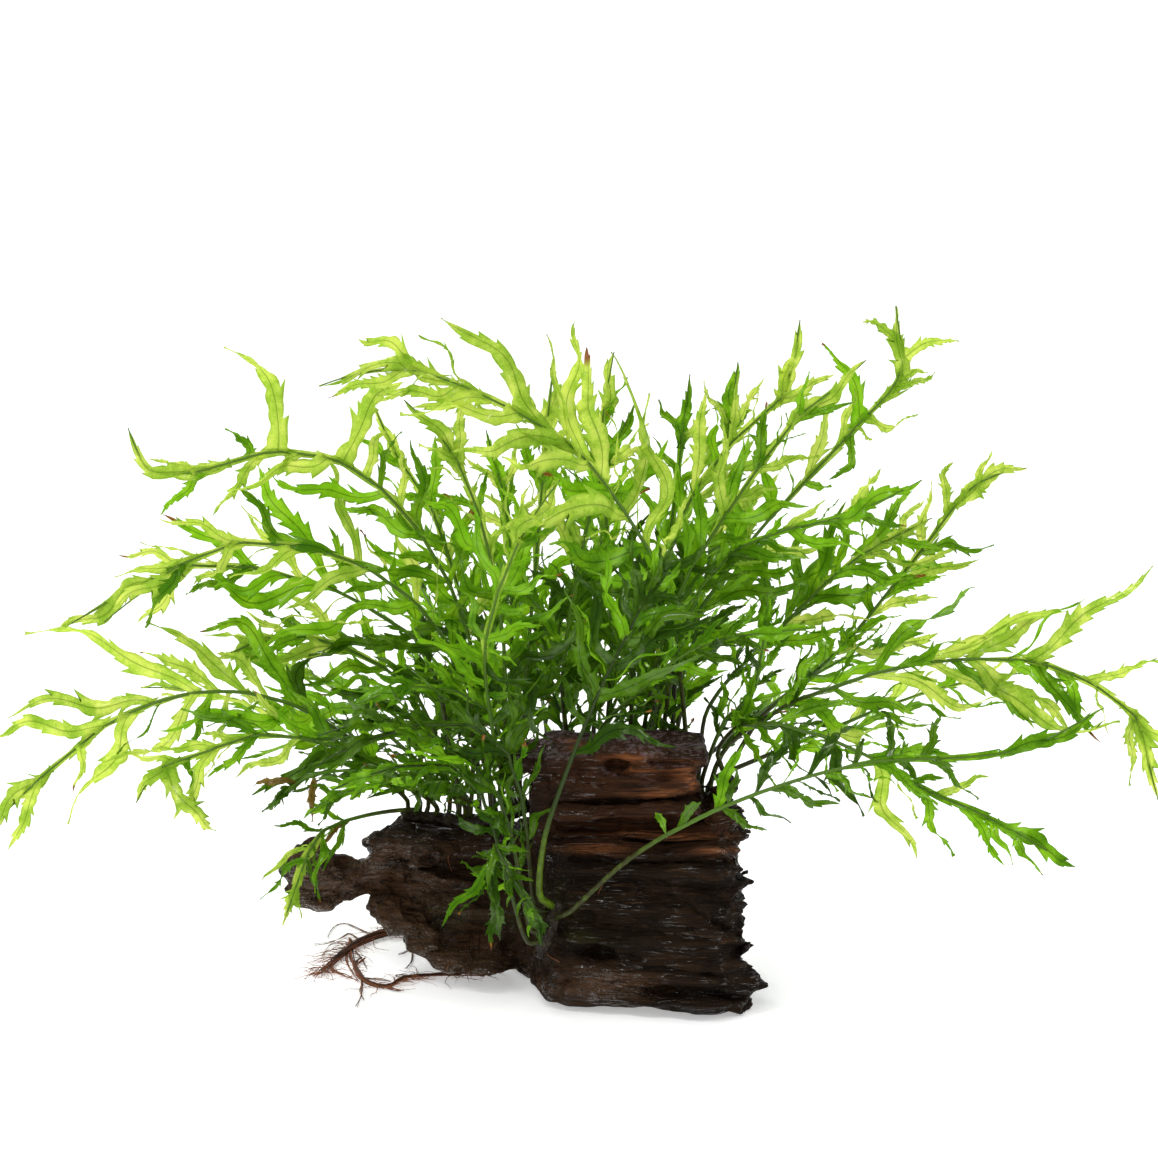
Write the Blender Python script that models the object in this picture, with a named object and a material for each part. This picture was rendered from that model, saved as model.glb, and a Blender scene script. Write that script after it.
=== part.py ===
"""African water fern growing on a piece of driftwood, as faceted solids.

The driftwood is four pieces that meet at its forks. The fern is three creeping rhizomes, one solid
for each frond, and the roots that trail on the surface. Lengths are in millimetres here and become
metres when a mesh is made. +X is to the right, +Y to the back and +Z up. The origin is on the
surface that the driftwood stands on.
"""

import math
import random
from itertools import product

import bmesh
import bpy
from mathutils import Matrix, Vector
from mathutils.bvhtree import BVHTree
from mathutils.geometry import intersect_point_line

MM = 0.001
UP = Vector((0, 0, 1))

# The front view in which the fronds were read: a square picture, its camera and where it aims
VIEW_SIDE = 1158
VIEW_DISTANCE = 1230.0
VIEW_TILT = math.radians(15)
VIEW_AIM = Vector((-1.7, 0, 200.9))
VIEW_SPREAD = 36 / 85

# Driftwood. Each station along X gives its front, back, underside and top
WOOD_TOP = 80.0
FOOT_HEIGHT = 0.6
FORK_GAP = 0.35
MAIN_STATIONS = [
    (-94, 22, 52, 38, 65),
    (-86, 19, 56, 31, 70),
    (-76, 22, 60, 18, 68),
    (-65, 26, 62, 0, 66),
    (-50, 26, 63, 0, 65),
    (-34, 22, 62, 0, 66),
    (-26, 8, 60, 0, 70),
    (-17, -20, 58, 0, 76),
    (-7, -27, 56, 0, WOOD_TOP),
    (10, -30, 54, 0, WOOD_TOP),
    (30, -33, 52, 0, WOOD_TOP),
    (46, -36, 50, 0, WOOD_TOP),
    (61, -37, 47, 0, WOOD_TOP),
    (77, -30, 40, 0, WOOD_TOP - 6),
]
# Its section, going up the front: how far each ridge is set back, and its share of the height
MAIN_FRONT = [
    (5, 0.05),
    (0, 0.12),
    (3.5, 0.20),
    (1.5, 0.27),
    (6, 0.38),
    (4, 0.47),
    (10, 0.57),
    (8.5, 0.66),
    (17, 0.76),
    (12, 0.82),
    (13, 0.93),
    (18, 1.0),
]
# Then down the back and along the underside: shares of the depth and of the height
MAIN_BACK = [(0.62, 1.0), (0.94, 0.97), (1.0, 0.78), (0.95, 0.6), (0.99, 0.4), (0.93, 0.16)]
MAIN_FOOT = [(0.84, 0.0), (0.58, 0.0), (0.26, 0.0)]
# Left of the neck the front leans less
NECK_X = -20
LEFT_LEAN = 0.6
# How far each ridge reaches past the last station, at the torn right end
SPLINTERS = [-1, -2, 3, 0.5, -4.5, -1, -2.5, -5, -5, -4.5, -6.5, -9]
BACK_SPLINTER = -5

BLOCK_STATIONS = [
    (-17, 4, 34, 82, 102),
    (-10, -4, 38, WOOD_TOP, 115),
    (4, -7, 40, WOOD_TOP, 119),
    (20, -7, 41, WOOD_TOP, 120),
    (36, -6, 40, WOOD_TOP, 118),
    (48, -4, 38, WOOD_TOP, 115),
    (55, 0, 32, 84, 110),
]
BLOCK_SECTION = [
    (0.30, 0.0),
    (0.24, 0.18),
    (0.03, 0.22),
    (0.0, 0.42),
    (0.05, 0.58),
    (0.01, 0.74),
    (0.04, 0.93),
    (0.12, 1.0),
    (0.55, 0.98),
    (0.93, 0.92),
    (1.0, 0.6),
    (0.94, 0.25),
    (0.9, 0.0),
]

SPUR_STATIONS = [
    (57, 8, 30, WOOD_TOP, 88),
    (61, 4, 33, WOOD_TOP, 96),
    (66, 6, 32, WOOD_TOP, 94),
    (71, 8, 29, WOOD_TOP, 88),
    (75, 10, 26, WOOD_TOP, 83),
]
SPUR_SECTION = [(0.15, 0.0), (0.0, 0.35), (0.12, 0.7), (0.35, 1.0), (0.7, 0.95), (0.95, 0.55), (0.88, 0.0)]

BRANCH_LINE = [(-94, 37, 51), (-104, 36, 49), (-113, 32, 48), (-121, 26, 51), (-126, 20, 57), (-128, 15, 62)]
BRANCH_RADII = [13, 12.5, 12.5, 12, 10.5, 9.5]
BRANCH_SIDES = 11
BRANCH_SWELL = 0.1

# Rhizomes lie on top of the wood, by X and Y, or against its front, by X and Z
RHIZOME_RADIUS = 3.6
RHIZOME_CLEAR = 0.6
# The share of the radius left at its ends, and the share of the length that each end takes
RHIZOME_END = 0.62
RHIZOME_TIP = 0.06
RHIZOME_SIDES = 7
RHIZOME_RINGS = 9
RHIZOMES = {
    "rhizome_left": ("top", [(-86, 38), (-74, 40), (-60, 42), (-46, 44), (-32, 46), (-23, 48)]),
    "rhizome_back": ("top", [(-16, 50), (0, 49.5), (18, 49), (34, 46.5), (52, 42.5), (68, 36)]),
    "rhizome_front": ("front", [(-20, 27), (-17, 36), (-14, 45), (-11, 54)]),
}

ROOT_SIDES = 6
ROOT_RINGS = 14

# Fronds: the spine is a round stipe, then a rachis with a wing along its outer half
STIPE_RADIUS = 1.3
RACHIS_RADIUS = 0.85
RACHIS_TAPER = 0.4
WING_HALF_WIDTH = 3.0
WING_START = 0.45
WING_SPAN = 0.62
KEEL = 0.5
BLADE_HALF_THICKNESS = 0.4
# A stipe leans up as it leaves its rhizome, in two short steps
STEM_LIFT = 0.35
STEM_STEP = 3.0
STEM_TURN = 5.0
# Where the spine has rings: just past its foot, and at these shares of its bare part
GUARD_START = 0.012
GUARD_RINGS = 22
BARE_RINGS = (0.12, 0.45)
PINNA_BASE = 3.4
PINNA_MIDDLE = 0.42
PINNA_SLENDERNESS = 0.077
LEAST_HALF_WIDTH = 0.8
MOST_HALF_WIDTH = 6.0
LEAST_PINNA = 9.0
MOST_LEAN = 30.0
CLEARANCE = 0.35
# The rule for pinnae: where they end on the blade, how their length and angle change along it
PAIR_SET = 0.35
LAST_PAIR = 0.9
LENGTH_FALL = 0.62
LENGTH_POWER = 1.6
FOOT_LENGTH = 0.72
FOOT_RISE = 3.5
LENGTH_SPREAD = (0.95, 1.38)
FOOT_ANGLE = 46
ANGLE_FALL = 16
ANGLE_SPREAD = 9
TURN_SPREAD = 24
BEND_AHEAD = (0.02, 0.3)
BEND_ACROSS = (-0.22, 0.22)
DROOP = (0, 0.2)
# A pinna that was read: how far its tip may stand before or behind the blade, and its turn
READ_STEPS = 200
READ_REACH = (-6, 9)
READ_TURN = 15
FLOOR_CLEARANCE = 2.5
# For trying a pinna against its own frond: steps along the spine, and the shares left off at its ends
SPINE_STEPS = 60
LONGEST_STRETCH = 0.16
READ_WORTH = 3
ROOT_SKIPPED = 0.06
TIP_SHARE = 0.03
SAME_PLACE = 0.2

# How a pinna is turned in degrees, bent out of the blade and shortened until it is clear
TURNS_AND_BENDS = [
    (0, 0), (0, 0.12), (18, 0.1), (-18, -0.1), (-18, 0.22),
    (36, 0.22), (-36, -0.22), (-36, 0.3), (50, 0.36), (-50, -0.36),
]
CUTS = (1.0, 0.8, 0.6, 0.42)
PINNA_CHANGES = [(turn, bend, cut) for cut in CUTS for turn, bend in TURNS_AND_BENDS]
# How far a spine is moved along its rhizome and in depth until it is clear, and what a move along costs
PLACE_SHIFTS = (0, 0.035, -0.035, 0.07, -0.07, 0.11, -0.11, 0.16, -0.16)
DEPTH_SHIFTS = [0] + [sign * step for step in range(3, 46, 3) for sign in (-1, 1)]
PLACE_COST = 90
FIRST_PLACE = 0.02
LAST_PLACE = 0.98

# A fanned frond's points, by share of its length, and its turn in degrees for each mm of shift
FAN_SHARES = (0.3, 0.6, 0.85, 1)
FAN_TURN = 0.6

FACING_FRONT = (0, -1, 0.45)
FACING_UP = (0, -0.5, 1)
FACING_STEPS = 30
FACING_PULL = 0.35


def traced(home, place, spine, longest, pairs=6, bare=0.3, facing=FACING_FRONT, pinnae=()):
    """A frond read in the front view.

    It grows at a share of the length of its home rhizome. Its spine is points of the picture with a
    depth. Its pinnae are the ones that could be read, as base, middle and tip points of the picture;
    the others follow the rule, up to the longest. The lowest share of the spine is bare.
    """
    return {"home": home, "place": place, "spine": spine, "longest": longest, "pairs": pairs,
            "bare": bare, "facing": Vector(facing), "pinnae": pinnae}


def fanned(home, place, bearing, rise, length, sag, longest, pairs=5):
    """A frond behind or before the others, by its bearing from straight back and its rise in degrees."""
    turn = math.radians(bearing)
    outward = Vector((math.sin(turn), math.cos(turn), 0))
    return {"home": home, "place": place, "outward": outward, "rise": math.radians(rise), "length": length,
            "sag": sag, "longest": longest, "pairs": pairs, "bare": 0.2, "facing": UP * 0.9 - outward * 0.55,
            "pinnae": ()}


FRONDS = [
    traced("rhizome_front", 0.75, [(640, 851, -52), (740, 800, -58), (860, 764, -52), (966, 757, -44),
                                   (1042, 744, -36), (1104, 708, -30)], 25, 7, 0.34,
           pinnae=[(716, 811, 724, 785, 743, 744), (753, 790, 774, 761, 790, 738),
                   (806, 770, 831, 742, 855, 728),
                   (889, 759, 892, 732, 881, 711), (923, 754, 932, 738, 940, 712),
                   (966, 764, 995, 780, 1022, 788),
                   (982, 754, 1008, 735, 1034, 728)]),
    traced("rhizome_back", 0.97, [(718, 742, 38), (752, 722, 12), (810, 732, -2), (870, 757, -14),
                                  (925, 790, -20),
                                  (990, 818, -26), (1075, 867, -30)], 36, 7, 0.2,
           pinnae=[(982, 812, 1015, 811, 1054, 804), (1004, 830, 1030, 822, 1058, 820),
                   (940, 790, 965, 783, 990, 778)]),
    traced("rhizome_back", 0.9, [(745, 728, 38), (818, 692, 26), (917, 664, 16), (1021, 660, 8),
                                 (1084, 680, 2),
                                 (1130, 708, -2), (1158, 800, -8)], 46, 7, 0.2,
           pinnae=[(871, 670, 923, 622, 975, 587), (923, 662, 978, 638, 1069, 611),
                   (1031, 657, 1085, 622, 1153, 566),
                   (872, 680, 940, 693, 1001, 698), (935, 680, 1021, 710, 1120, 721),
                   (1065, 670, 1074, 700, 1097, 731)]),
    traced("rhizome_back", 0.82, [(709, 705, 66), (755, 654, 66), (835, 575, 60), (876, 547, 58),
                                  (932, 518, 56)],
           44, 6, 0.42),
    traced("rhizome_back", 0.94, [(760, 718, 54), (833, 657, 50), (914, 560, 44), (974, 486, 40),
                                  (1027, 468, 38)],
           40, 6, 0.4,
           pinnae=[(871, 619, 898, 603, 938, 598), (892, 579, 889, 565, 894, 548),
                   (968, 495, 985, 530, 961, 590),
                   (944, 514, 944, 488, 953, 462)]),
    traced("rhizome_back", 0.7, [(676, 660, 50), (735, 560, 44), (817, 469, 36), (858, 425, 32),
                                 (900, 375, 30),
                                 (896, 306, 30)], 50, 7, 0.2,
           pinnae=[(858, 421, 852, 380, 823, 342), (868, 424, 890, 424, 918, 414),
                   (858, 439, 848, 462, 828, 480),
                   (908, 358, 928, 343, 958, 340), (900, 345, 882, 328, 863, 322),
                   (898, 390, 915, 384, 935, 372)]),
    traced("rhizome_back", 0.62, [(668, 690, 44), (700, 590, 22), (750, 541, 8), (811, 525, 0),
                                  (858, 512, -4),
                                  (922, 480, -8)], 36, 6, 0.2),
    traced("rhizome_back", 0.5, [(650, 690, 46), (680, 590, 24), (750, 480, 6), (806, 408, -2),
                                 (837, 387, -6),
                                 (866, 360, -8)], 44, 6, 0.2),
    traced("rhizome_back", 0.44, [(640, 620, 60), (690, 500, 62), (745, 428, 58), (785, 392, 54),
                                  (800, 320, 52)],
           44, 6, 0.2),
    traced("rhizome_back", 0.78, [(684, 715, 46), (676, 640, 24), (659, 569, -6), (590, 465, -42),
                                  (537, 424, -50),
                                  (462, 386, -50), (390, 368, -46),
                                  (319, 386, -44)], 58, 8, 0.34, (0, -1, 0.7),
           pinnae=[(585, 459, 571, 396, 575, 321), (543, 424, 514, 377, 441, 318),
                   (470, 384, 448, 355, 401, 337),
                   (437, 378, 400, 355, 358, 339), (585, 466, 550, 466, 502, 457),
                   (633, 510, 648, 450, 611, 352)]),
    traced("rhizome_back", 0.3, [(612, 650, 62), (606, 520, 70), (602, 430, 68),
                                 (614, 352, 64)], 42, 6, 0.2),
    traced("rhizome_back", 0.56, [(660, 620, 82), (676, 490, 90), (690, 374, 90)], 42, 6, 0.2),
    traced("rhizome_back", 0.66, [(700, 610, 88), (722, 480, 96), (738, 362, 96)], 40, 6, 0.2),
    traced("rhizome_left", 0.95, [(524, 700, 44), (536, 560, 36), (545, 450, 30),
                                  (554, 356, 28)], 44, 6, 0.2),
    traced("rhizome_left", 0.12, [(345, 735, 26), (274, 698, 14), (193, 693, 2), (124, 716, -8),
                                  (67, 754, -16),
                                  (-20, 836, -24)], 50, 7, 0.2,
           pinnae=[(195, 691, 122, 650, 25, 633), (247, 689, 204, 655, 147, 622),
                   (300, 702, 262, 645, 199, 632),
                   (309, 708, 306, 668, 374, 634), (153, 702, 92, 699, 8, 718),
                   (105, 729, 50, 727, -4, 737),
                   (82, 750, 64, 789, 38, 823), (196, 692, 165, 735, 100, 764),
                   (230, 696, 222, 720, 214, 742)]),
    traced("rhizome_left", 0.42, [(430, 660, 44), (367, 607, 38), (292, 575, 32), (202, 565, 26),
                                  (139, 586, 20),
                                  (57, 632, 14)], 44, 7, 0.2,
           pinnae=[(331, 592, 262, 590, 193, 577), (333, 590, 292, 525, 258, 466)]),
    traced("rhizome_left", 0.5, [(470, 690, 24), (418, 605, 8), (348, 560, 0), (254, 542, -8),
                                 (183, 563, -14),
                                 (104, 622, -20)], 44, 7, 0.2,
           pinnae=[(330, 553, 284, 532, 233, 487), (364, 565, 346, 505, 320, 456)]),
    traced("rhizome_left", 0.66, [(470, 640, 20), (420, 533, 2), (352, 468, -10), (277, 452, -16),
                                  (205, 470, -22),
                                  (158, 478, -26), (128, 428, -28)], 46, 8, 0.2,
           pinnae=[(279, 445, 274, 395, 224, 347), (382, 487, 386, 455, 402, 432),
                   (345, 460, 368, 412, 404, 382),
                   (378, 500, 327, 497, 268, 468)]),
    traced("rhizome_left", 0.58, [(470, 640, 64), (432, 510, 66), (396, 455, 66),
                                  (372, 400, 66)], 44, 6, 0.2),
    traced("rhizome_left", 0.04, [(350, 752, 10), (262, 735, -4), (197, 756, -14), (158, 770, -18),
                                  (136, 803, -20)],
           36, 6, 0.2,
           pinnae=[(166, 768, 186, 805, 216, 830)]),
    traced("rhizome_left", 0.24, [(400, 782, 6), (352, 768, -6), (306, 778, -14), (262, 812, -18)],
           30, 5, 0.2, FACING_UP),
    traced("rhizome_left", 0.02, [(368, 815, 24), (338, 824, 12), (316, 838, 0), (300, 876, -6),
                                  (284, 922, -8)],
           22, 4, 0.35),
    traced("rhizome_front", 0.3, [(500, 858, -46), (488, 880, -54), (497, 910, -58),
                                  (500, 940, -58)], 26, 4, 0.3),
    traced("rhizome_front", 0.95, [(543, 845, -46), (565, 776, -54), (600, 690, -56), (640, 610, -58),
                                   (676, 540, -58)], 42, 6, 0.52, (0, -1, 0.7),
           pinnae=[(572, 752, 613, 738, 678, 747)]),
    traced("rhizome_front", 0.5, [(500, 800, -56), (440, 742, -66), (380, 720, -74), (318, 736, -80)],
           40, 6, 0.2, FACING_UP),
    traced("rhizome_left", 0.8, [(505, 660, 6), (486, 540, -20), (452, 452, -34),
                                 (404, 400, -40)], 46, 7, 0.2),
    traced("rhizome_left", 0.34, [(420, 700, 62), (350, 650, 66), (280, 636, 66),
                                  (215, 660, 62)], 46, 6, 0.2),
    traced("rhizome_left", 0.88, [(512, 640, 74), (508, 520, 80), (486, 430, 80)], 44, 6, 0.2),
    traced("rhizome_left", 0.74, [(494, 740, -6), (486, 640, -40), (520, 540, -62), (560, 480, -72)],
           44, 6, 0.2, (0, -1, 0.7),
           pinnae=[(487, 664, 516, 694, 552, 742)]),
    traced("rhizome_back", 0.12, [(562, 690, 46), (574, 590, 14), (600, 480, -6),
                                  (636, 402, -16)], 44, 6, 0.2),
    fanned("rhizome_left", 0.18, -74, 40, 190, 70, 44),
    fanned("rhizome_left", 0.38, -42, 36, 210, 80, 48),
    fanned("rhizome_left", 0.7, -22, 52, 220, 80, 48),
    fanned("rhizome_back", 0.04, -8, 38, 215, 85, 48),
    fanned("rhizome_back", 0.24, 4, 62, 230, 60, 46),
    fanned("rhizome_back", 0.37, 16, 40, 215, 80, 48),
    fanned("rhizome_back", 0.6, 34, 54, 220, 70, 48),
    fanned("rhizome_back", 0.74, 46, 34, 205, 75, 44),
    fanned("rhizome_back", 0.88, 66, 26, 205, 50, 46),
    fanned("rhizome_left", 0.54, -155, 42, 165, 60, 40),
    traced("rhizome_front", 0.6, [(496, 846, -54), (508, 868, -58), (518, 888, -61), (532, 910, -63),
                                  (542, 945, -63)], 15, 4, 0.4),
    traced("rhizome_front", 0.85, [(522, 800, -46), (500, 744, -56), (452, 722, -64), (396, 732, -70),
                                   (343, 750, -76), (300, 778, -80)], 30, 6, 0.2,
           pinnae=[(440, 724, 405, 742, 352, 768), (400, 731, 372, 748, 323, 786)]),
    traced("rhizome_front", 0.4, [(488, 812, -42), (462, 772, -50), (420, 764, -58), (372, 774, -64),
                                  (332, 790, -68)], 28, 5, 0.2),
    traced("rhizome_left", 0.98, [(512, 770, 14), (492, 716, -8), (452, 690, -24), (404, 688, -34),
                                  (352, 706, -40)], 32, 5, 0.2),
    traced("rhizome_left", 0.62, [(448, 792, 24), (414, 772, 6), (372, 786, -8), (334, 796, -14),
                                  (304, 818, -18)], 24, 5, 0.2),
    traced("rhizome_back", 0.08, [(566, 716, 64), (556, 650, 62), (572, 590, 58),
                                  (612, 548, 56)], 38, 5, 0.15),
    traced("rhizome_back", 0.34, [(626, 704, 70), (634, 650, 72), (664, 600, 70),
                                  (716, 566, 66)], 36, 5, 0.15),
    traced("rhizome_back", 0.86, [(724, 722, 30), (750, 700, 22), (758, 672, 18), (764, 638, 14),
                                  (768, 592, 10)], 22, 4, 0.3),
    traced("rhizome_back", 0.2, [(606, 722, 44), (648, 685, 24), (682, 655, 16), (736, 636, 10),
                                 (774, 632, 8),
                                 (816, 628, 6)], 24, 5, 0.4),
    traced("rhizome_left", 0.46, [(446, 780, 56), (424, 730, 64), (380, 700, 68),
                                  (330, 690, 70)], 34, 5, 0.15),
]

# Roots on the surface: points of the same picture, and the radius at each end
ROOT_LIFT = 0.3
ROOTS = {
    "root_bundle": ([(437, 942), (422, 934), (403, 931), (378, 937), (352, 950), (334, 964),
                     (320, 975)], 2.6, 0.7),
    "root_runner": ([(364, 958), (355, 966), (366, 981), (388, 986), (405, 977), (445, 974),
                     (486, 975)], 1.0, 0.8),
}


def clear_scene():
    for old in list(bpy.data.objects):
        bpy.data.objects.remove(old)


def colour_of(name, colour, roughness):
    material = bpy.data.materials.new(name)
    material.use_nodes = True
    shader = material.node_tree.nodes["Principled BSDF"]
    shader.inputs["Base Color"].default_value = (*colour, 1)
    shader.inputs["Roughness"].default_value = roughness
    return material


def face_out(solid):
    bmesh.ops.recalc_face_normals(solid, faces=solid.faces)
    if solid.calc_volume(signed=True) < 0:
        bmesh.ops.reverse_faces(solid, faces=solid.faces)


def finish(name, solid, material):
    """The named object of a solid drawn in millimetres."""
    face_out(solid)
    bmesh.ops.scale(solid, vec=(MM, MM, MM), verts=solid.verts)
    mesh = bpy.data.meshes.new(name)
    solid.to_mesh(mesh)
    solid.free()
    mesh.materials.append(material)
    made = bpy.data.objects.new(name, mesh)
    bpy.context.scene.collection.objects.link(made)
    return made


def draw_out(solid, face, corners):
    """Extrudes a face and puts its corners in their new places."""
    end = bmesh.ops.extrude_discrete_faces(solid, faces=[face])["faces"][0]
    for corner, place in zip(end.verts, corners):
        corner.co = place
    return end


def point_out(solid, face, place):
    """Draws a face out to one point."""
    bmesh.ops.poke(solid, faces=[face])["verts"][0].co = place


def loft(rings):
    """A closed solid drawn through rings of equal count."""
    solid = bmesh.new()
    first = [solid.verts.new(place) for place in rings[0]]
    end = solid.faces.new(first)
    for ring in rings[1:]:
        end = draw_out(solid, end, ring)
    solid.faces.new(first)
    return solid


def tree_of(solid):
    return BVHTree.FromBMesh(solid)


def smooth_line(points, steps=10):
    """Points close together on a smooth curve through the given ones."""
    ends = [points[0] * 2 - points[1], *points, points[-1] * 2 - points[-2]]
    line = []
    for a, b, c, d in zip(ends, ends[1:], ends[2:], ends[3:]):
        for step in range(steps):
            t = step / steps
            curve = 2 * b + (c - a) * t + (2 * a - 5 * b + 4 * c - d) * t**2 + (3 * b - a - 3 * c + d) * t**3
            line.append(curve / 2)
    return line + [points[-1].copy()]


class Line:
    """A smooth line through points, read by the share of its length."""

    def __init__(self, points):
        self.points = smooth_line(points)
        self.reach = [0.0]
        for a, b in zip(self.points, self.points[1:]):
            self.reach.append(self.reach[-1] + (b - a).length)
        self.length = self.reach[-1]

    def at(self, share):
        wanted = min(max(share, 0), 1) * self.length
        for i in range(len(self.points) - 1):
            if self.reach[i + 1] >= wanted:
                part = (wanted - self.reach[i]) / max(self.reach[i + 1] - self.reach[i], 1e-9)
                return self.points[i].lerp(self.points[i + 1], part)
        return self.points[-1].copy()

    def along(self, share):
        return (self.at(min(share + 0.006, 1)) - self.at(max(share - 0.006, 0))).normalized()


def round_ring(middle, across, other, radius, sides):
    turns = [2 * math.pi * i / sides for i in range(sides)]
    return [middle + radius * (across * math.cos(turn) + other * math.sin(turn)) for turn in turns]


def tube(line, radius_at, sides, count):
    """A round solid along a line."""
    rings = []
    across = line.along(0).orthogonal().normalized()
    for r in range(count):
        share = r / (count - 1)
        along = line.along(share)
        across = (across - across.dot(along) * along).normalized()
        rings.append(round_ring(line.at(share), across, along.cross(across), radius_at(share), sides))
    return loft(rings)


def wobble(x, row, size):
    """A small repeatable unevenness, slow along the grain."""
    return size * (math.sin(x / 11 + row * 2.3) + 0.6 * math.sin(x / 5.3 + row * 4.1))


def main_wood():
    rings = []
    for x, front, back, low, high in MAIN_STATIONS:
        depth, height = back - front, high - low
        lean = LEFT_LEAN if x < NECK_X else 1
        last = x == MAIN_STATIONS[-1][0]
        ring = []
        for row, (inset, rise) in enumerate(MAIN_FRONT):
            out = SPLINTERS[row] if last else 0
            z = low + rise * height + (wobble(x, row + 5, 0.7) if rise < 1 else 0)
            ring.append(Vector((x + out, front + inset * lean + wobble(x, row, 0.9), max(z, FOOT_HEIGHT))))
        out = BACK_SPLINTER if last else 0
        for row, (share, rise) in enumerate(MAIN_BACK):
            ring.append(Vector((x + out, front + share * depth + wobble(x, row + 9, 0.8), low + rise * height)))
        ring += [Vector((x + out, front + share * depth, low + rise * height)) for share, rise in MAIN_FOOT]
        rings.append(ring)
    return loft(rings)


def lump_wood(stations, section, size):
    """A lump of wood that stands on the main body, its section given by shares of its depth and height."""
    rings = []
    for x, front, back, low, high in stations:
        ring = []
        for row, (deep, rise) in enumerate(section):
            y = front + deep * (back - front) + wobble(x, row, size)
            z = low + rise * (high - low) + (wobble(x, row + 3, size) if rise > 0.1 else 0)
            ring.append(Vector((x, y, max(z, WOOD_TOP) + FORK_GAP)))
        rings.append(ring)
    return loft(rings)


def branch_wood():
    rings = []
    line = [Vector(point) for point in BRANCH_LINE]
    line[0].x -= FORK_GAP
    across = Vector((0, 1, 0))
    for r, (middle, radius) in enumerate(zip(line, BRANCH_RADII)):
        along = (line[min(r + 1, len(line) - 1)] - line[max(r - 1, 0)]).normalized()
        if r == 0:
            along = Vector((-1, 0, 0))
        across = (across - across.dot(along) * along).normalized()
        ring = round_ring(middle, across, along.cross(across), radius, BRANCH_SIDES)
        swells = [1 + BRANCH_SWELL * math.sin(3 * i + r) for i in range(BRANCH_SIDES)]
        rings.append([middle + (place - middle) * swell for place, swell in zip(ring, swells)])
    return loft(rings)


def spot(across, down, depth):
    """The place that the front view shows at this point of the picture and at this depth."""
    ahead = Vector((0, math.cos(VIEW_TILT), -math.sin(VIEW_TILT)))
    above = Vector((0, math.sin(VIEW_TILT), math.cos(VIEW_TILT)))
    eye = VIEW_AIM - ahead * VIEW_DISTANCE
    step, middle = VIEW_SPREAD / VIEW_SIDE, VIEW_SIDE / 2
    ray = ahead + Vector((1, 0, 0)) * (across - middle) * step + above * (middle - down) * step
    return eye + ray * ((depth - eye.y) / ray.y)


def seen_at(place):
    """The point of the picture at which the front view shows this place."""
    ahead = Vector((0, math.cos(VIEW_TILT), -math.sin(VIEW_TILT)))
    above = Vector((0, math.sin(VIEW_TILT), math.cos(VIEW_TILT)))
    ray = place - (VIEW_AIM - ahead * VIEW_DISTANCE)
    size = VIEW_SIDE / VIEW_SPREAD / ray.dot(ahead)
    return Vector((VIEW_SIDE / 2 + ray.x * size, VIEW_SIDE / 2 - ray.dot(above) * size))


def floor_spot(across, down, height):
    """The place at this height above the surface that the front view shows at this point."""
    near, far = spot(across, down, -200.0), spot(across, down, 200.0)
    return near + (far - near) * ((height - near.z) / (far.z - near.z))


def lay_on_wood(side, places, wood):
    """Points for a rhizome that lies on top of the wood or against its front, clear of it all round."""
    rise = RHIZOME_RADIUS + RHIZOME_CLEAR
    reaches = (-RHIZOME_RADIUS, 0, RHIZOME_RADIUS)
    points = []
    for place in smooth_line([Vector((*pair, 0)) for pair in places], 3):
        near = [(place.x + a, place.y + b) for a, b in product(reaches, reaches)]
        if side == "top":
            hits = [wood.ray_cast(Vector((a, b, 300)), -UP)[0] for a, b in near]
            points.append(Vector((place.x, place.y, max(hit.z for hit in hits if hit) + rise)))
        else:
            hits = [wood.ray_cast(Vector((a, -300, b)), Vector((0, 1, 0)))[0] for a, b in near]
            points.append(Vector((place.x, min(hit.y for hit in hits if hit) - rise, place.y)))
    return points


def rhizome_radius(share):
    rounded = math.sin(math.pi * min(max(share, RHIZOME_TIP), 1 - RHIZOME_TIP)) ** 0.5
    return RHIZOME_RADIUS * (RHIZOME_END + (1 - RHIZOME_END) * rounded)


class Crowd:
    """What is already in place, against which a new piece is tried."""

    def __init__(self):
        self.taken = []
        self.met = ""

    def add(self, owner, solid):
        self.taken.append((owner, *self.box_of(solid), tree_of(solid)))

    @staticmethod
    def box_of(solid):
        places = [corner.co for corner in solid.verts]
        return [min(p[i] for p in places) for i in range(3)], [max(p[i] for p in places) for i in range(3)]

    def is_clear(self, solid, skip=()):
        """Whether a solid meets nothing but what its skipped owners hold, and keeps off the surface."""
        low, high = self.box_of(solid)
        if low[2] < FLOOR_CLEARANCE:
            return False
        tree = tree_of(solid)
        for owner, other_low, other_high, other in self.taken:
            apart = any(low[i] > other_high[i] or high[i] < other_low[i] for i in range(3))
            if owner not in skip and not apart and tree.overlap(other):
                self.met = owner
                return False
        return True


def stem_points(home, place, toward):
    """Where a frond leaves its rhizome, and its first points on the way to the next one."""
    along = home.along(place)
    way = (toward - home.at(place)).normalized() + UP * STEM_LIFT
    way = (way - way.dot(along) * along).normalized()
    start = home.at(place) + way * (rhizome_radius(place) + CLEARANCE)
    turned = start + way * STEM_STEP * 2 + (toward - start).normalized() * STEM_TURN
    return [start, start + way * STEM_STEP, turned]


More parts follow.
